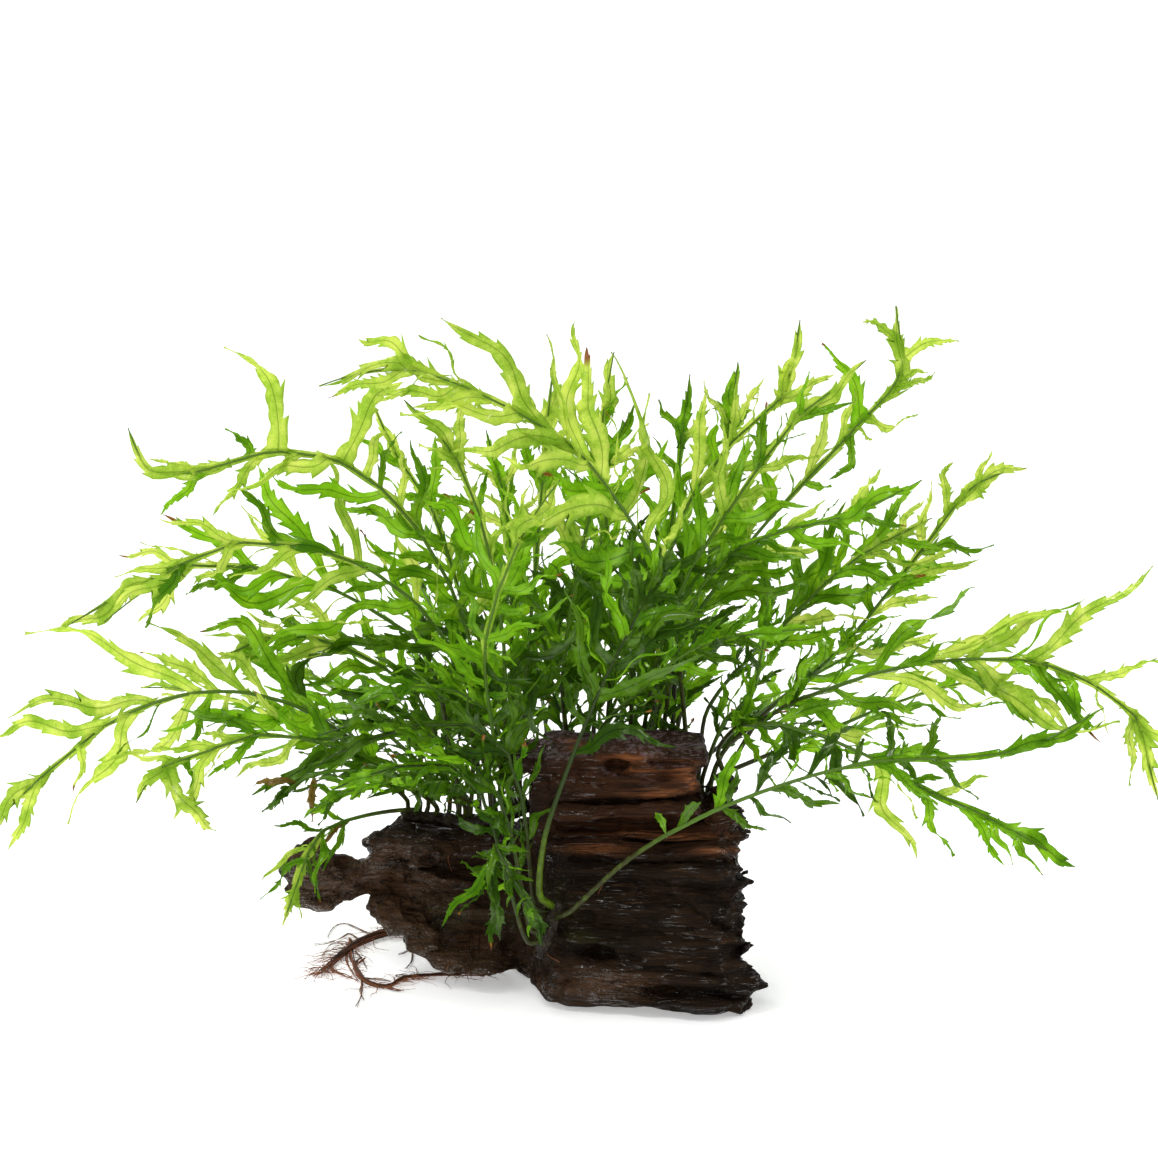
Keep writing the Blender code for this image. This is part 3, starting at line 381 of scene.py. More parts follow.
def makeBlank(name, settings):
    rows, chance = settings["rows"], random.Random(settings["seed"])
    clearPick()
    bpy.ops.mesh.primitive_grid_add(x_subdivisions=rows, y_subdivisions=blade["columns"], size=2)
    piece = bpy.context.object
    piece.name = "blank_" + name
    home = [(round((vert.co.x + 1) / 2 * rows), vert.co.y) for vert in piece.data.vertices]
    bpy.ops.object.mode_set(mode="EDIT")
    for side in (1, -1):
        order = stageRows(settings, chance)
        for stage, (width, lean) in stages.items():
            def onTooth(vert, stage=stage, side=side, order=order):
                row, v = home[vert.index]
                return v * side > 0.1 and 0 < row < rows and order[row - 1] == stage

            def onEdge(vert, test=onTooth):
                return test(vert) and abs(home[vert.index][1]) > 0.8
            pickPoints(piece, onTooth)
            bpy.ops.transform.resize(value=(1, width, 1), center_override=(0, 0, 0))
            bpy.ops.transform.translate(value=(lean * 0.7 / rows, 0, 0))
            pickPoints(piece, onEdge)
            bpy.ops.transform.translate(value=(lean * 1.3 / rows, 0, 0))
    bpy.ops.object.mode_set(mode="OBJECT")
    solid = piece.modifiers.new("thick", "SOLIDIFY")
    solid.thickness = blade["thickness"]
    solid.offset = 0
    applyAll(piece)
    bpy.ops.object.mode_set(mode="EDIT")
    pickPoints(piece, lambda vert: abs(vert.co.y) < 0.01)
    bpy.ops.transform.resize(value=(1, 1, blade["rib"]), center_override=(0, 0, 0))
    bpy.ops.mesh.select_all(action="SELECT")
    bpy.ops.mesh.quads_convert_to_tris()
    bpy.ops.object.mode_set(mode="OBJECT")
    points = pointsOf(piece)
    points[:, 0] = (points[:, 0] + 1) / 2
    faces = np.empty(len(piece.data.polygons) * 3, np.int32)
    piece.data.polygons.foreach_get("vertices", faces)
    bpy.data.objects.remove(piece)
    return points, faces.reshape(-1, 3)


leafBlanks = {name: makeBlank(name, settings) for name, settings in blanks.items()}
print("leaf blanks:", ", ".join(leafBlanks), max(len(faces) for points, faces in leafBlanks.values()), "triangles at most")


# A blade bent along a line, with its own width, twist, cup and ruffle
def layBlade(blank, lineAt, acrossAt, width, form):
    points, faces = leafBlanks[blank]
    u, v, height = np.clip(points[:, 0], 0, 1), points[:, 1], points[:, 2]
    line = lineAt(u)
    ahead = unit(lineAt(np.minimum(u + 0.01, 1)) - lineAt(np.maximum(u - 0.01, 0)))
    across = acrossAt(u)
    straight = unit(across - (across * ahead).sum(-1, keepdims=True) * ahead)
    normal = np.cross(ahead, straight)
    sway = 4 * u * (1 - u) * form["sway"]
    line = line + straight * (sway * np.sin(2 * math.pi * (u * 1.1 + form["phase"])))[:, None]
    line = line + normal * (sway * np.sin(2 * math.pi * (u * 1.3 + form["phase"] * 2.7)))[:, None]
    twist = form["twist"] * smooth(u, 0.1, 1.0)
    grown = form["root"] + (1 - form["root"]) * smooth(u, 0.0, form["swell"])
    grown = grown * (1 - np.clip((u - form["taper"]) / (1 - form["taper"]), 0, 1) ** form["point"])
    for pinch, turn in form["pinches"]:
        grown = grown * (1 - 0.68 * np.exp(-((u - pinch) / 0.05) ** 2))
        twist = twist + turn * smooth(u, pinch - 0.07, pinch + 0.07)
    twist = twist[:, None]
    straight, normal = straight * np.cos(twist) + normal * np.sin(twist), normal * np.cos(twist) - straight * np.sin(twist)
    half = width * grown
    edge = np.abs(v)
    wave = form["ruffle"] * edge**1.5 * np.sin(2 * math.pi * (u * form["waves"] + form["phase"] + 0.31 * np.sign(v)))
    lift = height + wave * smooth(u, 0.05, 0.3) * (1 - 0.5 * u) - form["cup"] * edge * half
    spread = straight * (v * half)[:, None]
    if form["slant"] is not None:
        share = (1 - smooth(u, 0.0, 0.2))[:, None]
        spread = spread + form["slant"] * (v * width * form["root"] * 1.5)[:, None] * share
    shape = line + spread + normal * lift[:, None]
    return shape, faces, np.stack((points[:, 0], v * 0.5 + 0.5), -1)


# Each solid frond, read back from its own corners: the spine's rings and every pinna's ends
def ringRound(vert):
    near = {other: set() for other in (edge.other_vert(vert) for edge in vert.link_edges)}
    for face in vert.link_faces:
        a, b = [corner for corner in face.verts if corner is not vert]
        near[a].add(b)
        near[b].add(a)
    ring = [next(iter(near))]
    while len(ring) < len(near):
        ahead = [other for other in near[ring[-1]] if other not in ring]
        if not ahead:
            return []
        ring.append(ahead[0])
    return ring


reading = {"same": 0.02 * mm, "blade": 0.5 * mm, "centre": Vector((0, 0.03, 0.06))}


def readPinnae(shape):
    pinnae, taken = [], set()
    for vert in shape.verts:
        ring = ringRound(vert) if len(vert.link_edges) == 4 else []
        if not ring:
            continue
        a, b, c, d = (corner.co for corner in ring)
        one, two = (a + b - c - d) / 4, (b + c - d - a) / 4
        flat, wide = sorted((one, two), key=lambda half: half.length)
        if (a + c - b - d).length > reading["same"] or flat.length > reading["blade"]:
            continue
        roots = {edge.other_vert(corner) for corner in ring for edge in corner.link_edges} - set(ring) - {vert}
        base = sum((root.co for root in roots), Vector()) / len(roots)
        pinnae.append({"base": np.array(base), "middle": np.array((a + b + c + d) / 4), "tip": np.array(vert.co),
                       "wide": np.array(wide)})
        taken |= {vert, *ring}
    return pinnae, taken


def readFrond(node):
    shape = bmesh.new()
    shape.from_mesh(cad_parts[node].data)
    bmesh.ops.remove_doubles(shape, verts=shape.verts, dist=0.01 * mm)
    pinnae, taken = readPinnae(shape)
    ends = [vert for vert in shape.verts if len(vert.link_edges) == 3 and vert not in taken]
    tip = max(ends, key=lambda vert: (vert.co - reading["centre"]).length)
    rings, seen = [[tip]], {tip} | taken
    while rings[-1]:
        ahead = []
        for vert in rings[-1]:
            for edge in vert.link_edges:
                other = edge.other_vert(vert)
                if other not in seen:
                    seen.add(other)
                    ahead.append(other)
        rings.append(ahead)
    middles, normals, widths = [np.array(tip.co)], [], []
    for ring in rings[1:-1]:
        if len(ring) != 3:
            print("odd ring in", node, len(ring))
            continue
        pairs = [(ring[i], ring[(i + 1) % 3], ring[(i + 2) % 3]) for i in range(3)]
        right, left, ridge = max(pairs, key=lambda trio: (trio[0].co - trio[1].co).length)
        low = (right.co + left.co) / 2
        middles.append(np.array(low + (ridge.co - low) / 3))
        normals.append(np.array((ridge.co - low).normalized()))
        widths.append((right.co - left.co).length / 2)
    shape.free()
    path = Path(middles[::-1])
    shares = np.array([path.nearest(middle) for middle in middles[::-1]])
    return {"name": node, "path": path, "shares": shares, "normals": np.array((normals[:1] + normals)[::-1]),
            "widths": np.array(([0.0] + widths)[::-1]), "pinnae": pinnae}


def across(frond, shares):
    shares = np.asarray(shares)
    normal = np.stack([np.interp(shares, frond["shares"], frond["normals"][:, axis]) for axis in range(3)], -1)
    return unit(np.cross(frond["path"].along(shares), normal))


# Finishes of the fern. The dark and pale leaf tones, as placed by toneAt, carry painted shade and painted backlight as
# well as leaf age
leafTones = {
    "leaf_deep": {"shade": (0.012, 0.036, 0.001), "light": (0.072, 0.158, 0.004), "through": (0.52, 0.80, 0.05),
                  "share": 0.36},
    "leaf_green": {"shade": (0.036, 0.125, 0.002), "light": (0.200, 0.440, 0.012), "through": (0.72, 0.95, 0.15),
                   "share": 0.54},
    "leaf_pale": {"shade": (0.180, 0.370, 0.016), "light": (0.460, 0.660, 0.080), "through": (0.97, 1.0, 0.44),
                  "share": 0.70},
    "leaf_withered": {"shade": (0.060, 0.040, 0.006), "light": (0.250, 0.160, 0.030), "through": (0.80, 0.62, 0.16),
                      "share": 0.46},
}


def makeLeaf(name, tone):
    sheet = Sheet(name)
    u, v = sheet.map("blade")
    hue, age = sheet.map("tone")
    where = sheet.place()
    side = (v - 0.5).size() * 2
    veins = ((u * 30 - side * 2.2) * (2 * math.pi)).sine() * 0.5 + 0.5
    fine = sheet.noise(where, 900, 3, 0.6)
    patches = sheet.noise(where, 90, 3, 0.6)
    mixed = sheet.step(patches * 1.1 + fine * 0.35 + hue * 0.5 - 0.45, 0.25, 0.75)
    colour = sheet.blend(mixed, tone["shade"], tone["light"])
    paleVein = veins ** 5 * sheet.step(side, 0.06, 0.25) * 0.3
    colour = sheet.blend(paleVein, colour, tuple(min(1, c * 1.7) for c in tone["light"]))
    margin = sheet.step(side + fine * 0.5, 0.75, 1.3)
    colour = sheet.blend(margin * 0.45, colour, tone["shade"])
    rib = 1 - sheet.step(side, 0.02, 0.075)
    colour = sheet.blend(rib * 0.7, colour, tuple(c * 0.5 for c in tone["shade"]))
    brown = sheet.step(u + age + patches * 0.12, 1.93, 2.0)
    colour = sheet.blend(brown, colour, (0.27, 0.105, 0.012))
    height = fine * 0.4 + veins ** 3 * 0.5 - rib * 0.7
    glint = sheet.step(patches + fine * 0.5, 0.72, 0.84)
    front = sheet.add("ShaderNodeBsdfPrincipled", {}, {
        "Base Color": colour, "Roughness": sheet.step(patches, 0.3, 0.7, 0.34, 0.55), "Coat Weight": glint * 0.8,
        "Specular IOR Level": 0.07, "Coat Roughness": 0.1, "Normal": sheet.bump(height, 0.45, 0.0005)})
    dimmed = tuple(part * less for part, less in zip(tone["through"], (0.70, 0.84, 0.55)))
    mottled = sheet.step(patches * 0.8 + fine * 0.5 - margin * 0.2, 0.50, 0.78)
    back = sheet.blend(brown, sheet.blend(mottled, dimmed, tone["through"]), (0.62, 0.32, 0.05))
    through = sheet.add("ShaderNodeBsdfTranslucent", {}, {"Color": back})
    share = tone["share"] * (1 - brown * 0.5) * (1 - rib * 0.6) * (1 - paleVein * 0.4) * (0.8 + mixed * 0.3)
    return sheet.finish(sheet.add("ShaderNodeMixShader", {}, {0: share, 1: front, 2: through}))


def makeStem(name, dark, light, top):
    sheet = Sheet(name)
    u, v = sheet.map("blade")
    where = sheet.place()
    patches = sheet.noise(where, 240, 3, 0.6)
    colour = sheet.blend(sheet.step(patches + sheet.step(u, 0.1, 0.8) * 0.35, 0.42, 0.85), dark, light)
    colour = sheet.blend(sheet.step(u, 0.18, 0.36), colour, top)
    return sheet.finish(sheet.add("ShaderNodeBsdfPrincipled", {}, {
        "Base Color": colour, "Roughness": sheet.step(patches, 0.3, 0.7, 0.3, 0.5), "Coat Weight": 0.1,
        "Specular IOR Level": 0.15, "Normal": sheet.bump(patches, 0.5, 0.0004)}))


leafMaterials = [makeLeaf(name, tone) for name, tone in leafTones.items()]
stemMaterials = {
    "olive": makeStem("stem_olive", (0.026, 0.026, 0.005), (0.075, 0.120, 0.010), (0.066, 0.140, 0.010)),
    # stem_shade: darker stems for the fronds in growth shaded, painted shade
    "shade": makeStem("stem_shade", (0.022, 0.024, 0.004), (0.060, 0.085, 0.007), (0.026, 0.055, 0.004)),
    "green": makeStem("stem_green", (0.060, 0.100, 0.004), (0.150, 0.280, 0.010), (0.018, 0.036, 0.003)),
}
print("fern finishes:", len(leafMaterials), "leaf tones and", len(stemMaterials), "stems")

# Fronds
growth = {
    "stout": {"frond_01": 1.0, "frond_24": 1.5}, "stems": {"frond_01": "olive", "frond_24": "green"},
    "slender": {"frond_22": 0.6},
    # fronds in shaded hang low in front over the wood: painted shade tilts their leaves to the dark tone in toneAt, and
    # those without a stem finish of their own get the dark stem_shade finish
    "shaded": ("frond_01", "frond_23", "frond_24", "frond_25", "frond_41", "frond_42", "frond_43"),
    "stemFoot": 1.25 * mm, "stemTop": 0.28 * mm, "sink": 2.5 * mm,
    "twist": 0.75, "cup": 0.4, "ruffle": 1.5 * mm, "sway": 0.07, "width": 1.04, "wing": 2.2 * mm,
    # crown, crownReach and pale set where leaves get the pale tone, partly painted backlight; low, lowReach and deep
    # set where they get the dark tone, partly painted shade
    "brownShare": 0.12, "crown": np.array((0.008, 0.02, 0.115)), "crownReach": 0.24, "pale": 0.78, "deep": 0.3,
    "between": 8 * mm, "betweenSize": (0.5, 0.88), "betweenShare": (1.0, 0.72),
    "low": np.array((-0.035, 0.0, 0.085)), "lowReach": 0.085, "below": 7.5 * mm, "belowLength": (12, 36),
}
longBlanks = ("hookedA", "hookedB", "hookedA", "wavyA", "deep", "fine", "hookedB")
middleBlanks = ("hookedB", "wavyA", "wavyB", "hookedA", "deep", "shortA")
# Single leaves that the picture shows: foot and tip, half width, tone and how far the tip comes forward
singles = {
    "frond_01": [((673, 824), (701, 803), 3.0 * mm, 1, 3 * mm), ((664, 830), (655, 813), 2.2 * mm, 2, 2 * mm)],
    "frond_22": [((330, 838), (283, 925), 3.0 * mm, 3, 14 * mm), ((352, 822), (322, 846), 2.2 * mm, 4, 2 * mm),
                 ((318, 850), (262, 880), 1.8 * mm, 3, 4 * mm)],
    "frond_21": [((318, 786), (312, 822), 2.4 * mm, 4, 2 * mm), ((300, 790), (254, 786), 2.2 * mm, 4, 2 * mm)],
}


def quadratic(base, middle, tip, at=0.42):
    def lineAt(u):
        u = np.asarray(u)[:, None]
        return (base * (u - at) * (u - 1) / at + middle * u * (u - 1) / (at * (at - 1))
                + tip * u * (u - at) / (1 - at))
    return lineAt


def pinnaForm(chance, outer, slant, length):
    pinches = []
    if length > 22 * mm and chance.random() < 0.3:
        pinches = [(chance.uniform(0.4, 0.78), chance.choice((0, 0.9, -0.9, 1.7, -1.7)))]
    return {
        "twist": chance.gauss(0, growth["twist"]), "root": 0.2 + 0.55 * outer, "swell": chance.uniform(0.22, 0.42),
        "taper": chance.uniform(0.2, 0.55), "point": chance.uniform(1.0, 1.9), "pinches": pinches,
        "ruffle": growth["ruffle"] * chance.uniform(0.3, 1.4), "waves": chance.uniform(2.0, 4.8),
        "phase": chance.random(), "cup": growth["cup"] * chance.uniform(-0.3, 1.1), "slant": slant,
        "sway": growth["sway"] * length * chance.uniform(0.2, 1.2),
    }


# Leaf tone by place: leaves far out from the crown point get the pale tone, partly paler young leaves and partly
# painted backlight; leaves in the low centre get the dark tone, partly older leaves and partly painted shade
def toneAt(place, chance, shaded):
    far = np.linalg.norm((place - growth["crown"]) * (1, 0.5, 1.25)) / growth["crownReach"]
    rank = far * (0.4 if shaded else 1) + chance.uniform(-0.3, 0.3)
    if np.linalg.norm((place - growth["low"]) * (0.8, 0.6, 1)) < growth["lowReach"] * chance.uniform(0.6, 1.3):
        rank = chance.uniform(0, 1.3) * growth["deep"]
    return 3 if rank > growth["pale"] else 2 if rank > growth["deep"] else 1


# Smaller leaves that stand between those of the solid, on the same side of the stem
def leavesBetween(frond, feet, chance):
    found = []
    for side in (1, -1):
        row = [(share, pinna) for share, pinna in sorted(zip(feet, frond["pinnae"]), key=lambda pair: pair[0])
               if (pinna["tip"] - pinna["base"]).dot(across(frond, [share])[0]) * side > 0]
        for (near, lower), (far, upper) in zip(row, row[1:]):
            place = frond["path"].at([(near + far) / 2])[0]
            out = smooth(np.linalg.norm(place - growth["crown"]), 0.1, 0.2)
            often = growth["betweenShare"][0] + (growth["betweenShare"][1] - growth["betweenShare"][0]) * out
            if (far - near) * frond["path"].length < growth["between"] or chance.random() > often:
                continue
            share = near + (far - near) * chance.uniform(0.35, 0.65)
            base = frond["path"].at([share])[0]
            size = chance.uniform(*growth["betweenSize"])
            turn = np.array([chance.gauss(0, 0.16) for axis in range(3)])
            parts = {}
            for part in ("middle", "tip"):
                reach = (lower[part] - lower["base"] + upper[part] - upper["base"]) / 2
                parts[part] = base + (reach + np.cross(turn, reach)) * size
            found.append(({"base": base, "wide": (lower["wide"] + upper["wide"]) / 2 * size**0.5, **parts}, share))
    return found


# and small ones that stand low on the bare stipe
def leavesBelow(frond, feet, chance):
    path, found = frond["path"], []
    first = min(feet + [0.9])
    if frond["name"] in growth["shaded"] or frond["name"] in growth["slender"]:
        return found
    lowest = 0.62 if path.at([0.1])[0][0] > 0.05 else 0.12
    for i in range(int(first * path.length / growth["below"])):
        share = first * chance.uniform(lowest, 1)
        base, turn = path.at([share])[0], chance.uniform(0, 2 * math.pi)
        out = np.array((math.cos(turn), 0.7 * math.sin(turn), 0))
        heading = unit(path.along([share])[0] + out * chance.uniform(0.35, 1.1))
        reach = heading * chance.uniform(*growth["belowLength"]) * mm
        wide = unit(np.cross(heading, np.cross(out, heading) + 0.4 * out)) * chance.uniform(1.3, 2.6) * mm
        found.append(({"base": base, "middle": base + reach * 0.42 + up * 0.6 * mm, "tip": base + reach + out * 2 * mm,
                       "wide": wide}, share))
    return found


def dressFrond(frond, number):
    chance = random.Random(700 + number)
    path = frond["path"]
    made = Gathered()
    foot = path.at([0])[0] - path.along([0])[0] * growth["sink"]
    stem = Path(np.vstack((foot, path.line[::6], path.line[-1])))
    stout = growth["stout"].get(frond["name"], chance.uniform(0.85, 1.1))

    def stemRadius(shares):
        grown = growth["stemTop"] + (growth["stemFoot"] - growth["stemTop"]) * (1 - np.asarray(shares)) ** 0.8
        return grown * (1 + (stout - 1) * (1 - np.asarray(shares)) ** 3)

    shaded = frond["name"] in growth["shaded"]
    kind = stemMaterials[growth["stems"].get(frond["name"], "shade" if shaded else "olive")]
    hue = chance.uniform(0.2, 0.8)
    made.add(*tube(stem, stemRadius, 7, 40), (hue, 0), 0)

    # The wing runs up the outer half and ends in the last blade
    winged = frond["widths"] > 1.4 * mm
    bareEnd = frond["shares"][np.argmax(winged)] if winged.any() else 0.6
    feet = [path.nearest(pinna["base"]) for pinna in frond["pinnae"]]
    start = max(bareEnd - 0.16, min(feet + [0.9]))
    tipTone = toneAt(path.at([0.9])[0], chance, shaded)

    def along(first, last):
        def lineAt(u):
            return path.at(first + (last - first) * u)

        def acrossAt(u):
            return across(frond, first + (last - first) * u)
        return lineAt, acrossAt

    form = pinnaForm(chance, 0, None, 0)
    form.update(root=0.1, twist=0, cup=0.15, ruffle=0.5 * mm, waves=6, taper=0.7)
    made.add(*layBlade("wavyA", *along(start, start + (1 - start) * 0.94), growth["wing"], form), (hue, 0), tipTone)
    lastStart = max(0.82, start)
    lastLength = path.length * (1 - lastStart)
    form = pinnaForm(chance, 1, None, lastLength)
    form.update(root=0.5, pinches=[], twist=form["twist"] * 0.4)
    blank = chance.choice(("deep", "hookedA", "hookedB", "wavyA"))
    width = min(0.11 * lastLength + 1.8 * mm, 5.0 * mm)
    made.add(*layBlade(blank, *along(lastStart, 1), width, form), (hue, chance.uniform(0, 0.9)), tipTone)

    for pinna, share in [*zip(frond["pinnae"], feet), *leavesBetween(frond, feet, chance), *leavesBelow(frond, feet, chance)]:
        base, ahead = path.at([share])[0], path.along([share])[0]
        length = float(np.linalg.norm(pinna["tip"] - base))
        wide = unit(pinna["wide"])
        wide = wide * (1 if ahead.dot(wide) > 0 else -1)
        form = pinnaForm(chance, smooth(share, 0.42, 0.9), ahead, length)
        blank = chance.choice(longBlanks if length > 30 * mm else middleBlanks if length > 17 * mm else ("shortA", "shortB"))
        width = float(np.linalg.norm(pinna["wide"])) * growth["width"] * chance.uniform(0.85, 1.2)
        width *= growth["slender"].get(frond["name"], 1)
        age = chance.uniform(0.88, 1.06) if chance.random() < growth["brownShare"] else chance.uniform(0, 0.8)
        tone = toneAt((pinna["middle"] + pinna["tip"]) / 2, chance, shaded)
        made.add(*layBlade(blank, quadratic(base, pinna["middle"], pinna["tip"]),
                           lambda u, wide=wide: np.tile(wide, (len(u), 1)), width, form), (chance.random(), age), tone)
    for foot, tip, width, tone, forward in singles.get(frond["name"], ()):
        seen = pictureOf(path.line)
        base = path.line[np.argmin(np.linalg.norm(seen - foot, axis=1))]
        end = np.array(seenAt(*tip, base[1] - forward))
        form = pinnaForm(chance, 0, None, float(np.linalg.norm(end - base)))
        form.update(twist=0.5, pinches=[], taper=0.5, point=1.6, sway=form["sway"] * 0.6)
        middle = (base + end) / 2 + up * 0.12 * np.linalg.norm(end - base)
        facing = unit(np.cross(end - base, np.array(viewFrame()[1])))
        made.add(*layBlade("plain", quadratic(base, middle, end), lambda u, facing=facing: np.tile(facing, (len(u), 1)),
                           width, form), (chance.random(), 0.6), tone)
    piece = made.piece("leafy_" + frond["name"], [kind, *leafMaterials])
    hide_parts(frond["name"])
    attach(piece, "root")
    return len(piece.data.polygons)


frondNames = sorted(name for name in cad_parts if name.startswith("frond_"))
total = 0
for number, name in enumerate(frondNames):
    total += dressFrond(readFrond(name), number)
print("fronds:", len(frondNames), "with", total, "triangles")

# Driftwood: the four solids grown together, remeshed finely, carved and worn along the grain
wood = {
    "nodes": ["driftwood_main", "driftwood_upper_block", "driftwood_back_spur", "driftwood_left_branch"],
    "overlap": 4 * mm, "voxel": 1.15 * mm, "grain": 1.3, "lumps": 1.9, "pits": 2.2, "torn": 4.5, "tornReach": 12, "uneven": 0.6,
}
# Rough forms by their place in the picture, how far back they lie and their half sizes in mm: knobs are grown on,
knobs = [
    ((381, 846), 26, (7, 9, 6)), ((402, 840), 28, (10, 12, 7)), ((428, 850), 22, (12, 14, 6)),
    ((300, 866), 24, (8.5, 9, 9.5)), ((329, 864), 22, (4, 5, 2.2)), ((388, 906), 22, (10, 12, 6)),
    ((402, 922), 18, (11, 12, 5)), ((424, 942), 14, (9, 12, 5)), ((452, 958), 10, (12, 12, 4)),
    ((486, 962), 4, (12, 12, 3)), ((737, 834), -12, (5, 10, 0.9)), ((742, 944), -14, (4.5, 10, 1.3)),
    ((745, 980), -16, (6.5, 10, 2.2)), ((741, 880), -10, (4, 10, 2.2)), ((722, 784), 16, (7, 9, 3.5)),
    ((738, 1004), -18, (7, 10, 2.4)), ((340, 872), 24, (7, 8, 3)), ((318, 900), 20, (9, 9, 4)),
    ((305, 886), 24, (9, 9, 7)),
]
# slabs too, from corner to corner,
slabs = [((-18, -5.5, 110.5), (57, 38, 117)), ((-33, 2, 107), (-12, 30, 115.5)), ((-24, 5, 72), (-12, 28, 110))]
# and bites are torn out along the line of sight
bites = [
    ((345, 838), 26, (9, 60, 9)), ((360, 852), 26, (5.5, 60, 5)), ((707, 775), 16, (6.2, 60, 4.6)), ((752, 857), -10, (8.5, 60, 4.2)),
    ((757, 898), -10, (6, 60, 5)), ((757, 953), -10, (7, 60, 2.0)), ((765, 995), -14, (6, 60, 3.6)),
    ((646, 801), 10, (3.2, 60, 0.9)), ((386, 880), 20, (3, 14, 2.2)),
]
# By their place in the picture: ridges, with their half width and how far they stand out in mm,
ridges = [
    ([(558, 822), (640, 824), (700, 822), (752, 833)], 12, 3.6),
    ([(572, 788), (620, 791), (690, 790)], 7, 2.0),
    ([(556, 748), (640, 752), (706, 750)], 6, 2.4),
    ([(575, 850), (640, 853), (738, 850)], 4.5, 2.4),
    ([(600, 872), (660, 884), (705, 902), (732, 928)], 7, 1.8),
    ([(556, 902), (620, 919), (690, 924), (742, 940)], 4.5, 1.8),
    ([(540, 938), (640, 947), (700, 953), (748, 964)], 5, 1.5),
    ([(556, 990), (620, 991), (690, 1003), (745, 1008)], 5, 2.2),
    ([(395, 898), (450, 912), (500, 922)], 7, 1.8), ([(400, 868), (440, 878), (480, 884)], 5, 1.6),
]
# grooves, with their half width and depth in mm,
grooves = [
    ([(556, 803), (600, 803), (645, 801), (700, 797)], 3.4, 7),
    ([(560, 841), (612, 839), (660, 846), (735, 842)], 3.4, 6),
    ([(572, 860), (640, 864), (738, 861)], 3.6, 5),
    ([(622, 773), (660, 777), (693, 772)], 3, 3.2),
    ([(650, 762), (690, 764)], 3, 3),
    ([(640, 893), (692, 908), (738, 936)], 3, 2.4),
    ([(552, 913), (620, 930), (690, 938), (740, 950)], 3, 2.0),
    ([(610, 966), (680, 972), (750, 982)], 4, 2.6),
    ([(556, 981), (610, 984), (655, 994)], 3, 2.0),
    ([(690, 988), (716, 996), (742, 1000)], 2.6, 2.0),
    ([(385, 884), (450, 893), (505, 908)], 3.4, 1.8),
    ([(398, 915), (440, 930), (500, 936)], 3.4, 2.0),
    ([(400, 858), (440, 866), (500, 880)], 3, 1.6),
]
# and hollows, with their half sizes across and down and their depth in mm
hollows = [
    ((588, 772), (15, 14), 5.5), ((617, 766), (11, 6), 9), ((601, 956), (14, 6.5), 9), ((666, 994), (18, 5), 8),
    ((515, 952), (12, 20), 8), ((468, 873), (12, 9), 4), ((640, 845), (22, 4), 5), ((718, 998), (24, 5), 4.5),
    ((745, 952), (9, 5), 5), ((428, 862), (7, 4), 5), ((540, 968), (11, 10), 6),
]
# Red-brown heartwood and its orange spots, and mossy places, in the same way
redPlaces = [((628, 772), (82, 36)), ((645, 826), (95, 16)), ((600, 849), (34, 7)), ((715, 850), (34, 7))]
orangePlaces = [((577, 749), (9, 5)), ((626, 758), (20, 5)), ((655, 793), (22, 5)), ((684, 770), (12, 10)),
                ((692, 784), (5, 9)), ((600, 848), (24, 4)), ((690, 836), (36, 4)), ((630, 832), (30, 3)),
                ((575, 742), (12, 3)), ((720, 850), (20, 3)), ((642, 770), (18, 3))]
earthPlaces = [((345, 885), (46, 40)), ((420, 890), (60, 50)), ((470, 945), (60, 30)), ((590, 985), (60, 14)),
               ((330, 865), (40, 30))]
mossPlaces = [((500, 925), (60, 26)), ((450, 918), (40, 14)), ((600, 935), (50, 16)), ((560, 900), (30, 22))]


def nearLine(seen, line):
    near = np.full(len(seen), 1e9)
    for a, b in zip(np.array(line[:-1], float), np.array(line[1:], float)):
        share = np.clip(((seen - a) @ (b - a)) / ((b - a) @ (b - a)), 0, 1)
        near = np.minimum(near, np.linalg.norm(seen - a - share[:, None] * (b - a), axis=1))
    return near


def inOval(seen, centre, half):
    return np.exp(-(((seen - centre) / half) ** 2).sum(-1))


def frontness(points, normals):
    eye = np.array(viewFrame()[0])
    return smooth((normals * unit(eye - points)).sum(-1), -0.05, 0.3)


def grainAt(x, y, z):
    warp = 6 * noise.noise(Vector((x / 40, y / 25, z / 25))) + 0.10 * x
    wide = 1 - 2 * abs(noise.noise(Vector((x / 60, y / 8.0, (z + warp) / 6.5 + 3.1))))
    fine = 1 - 2 * abs(noise.noise(Vector((x / 24, y / 3.0 + 7.7, (z + warp) / 2.4))))
    strength = max(0.15, 0.55 + 1.3 * noise.noise(Vector((x / 42, y / 18, z / 15 + 9.3))))
    return (wide - 0.6) * strength, (fine - 0.5) * (0.5 + 0.5 * strength)


def roughForm(place, depth, half, lengthwise):
    at = seenAt(*place, depth * mm)
    clearPick()
    bpy.ops.mesh.primitive_ico_sphere_add(subdivisions=3, radius=1, location=at)
    form = bpy.context.object
    for vert in form.data.vertices:
        vert.co *= 1 + wood["uneven"] * noise.noise(vert.co * 1.9 + Vector((*place, 0)) * 0.37)
    form.scale = [size * mm for size in half]
    if lengthwise:
        form.rotation_euler = viewRay(*place)[1].to_track_quat("Y", "Z").to_euler()
    bpy.ops.object.transform_apply(location=True, rotation=True, scale=True)
    return form


def slab(low, high):
    clearPick()
    middle = [(a + b) / 2 * mm for a, b in zip(low, high)]
    bpy.ops.mesh.primitive_cube_add(size=1, location=middle)
    form = bpy.context.object
    form.scale = [(b - a) * mm for a, b in zip(low, high)]
    bpy.ops.object.transform_apply(location=True, rotation=True, scale=True)
    bpy.ops.object.mode_set(mode="EDIT")
    bpy.ops.mesh.select_all(action="SELECT")
    bpy.ops.mesh.bevel(offset=1.6 * mm, segments=2)
    bpy.ops.object.mode_set(mode="OBJECT")
    return form


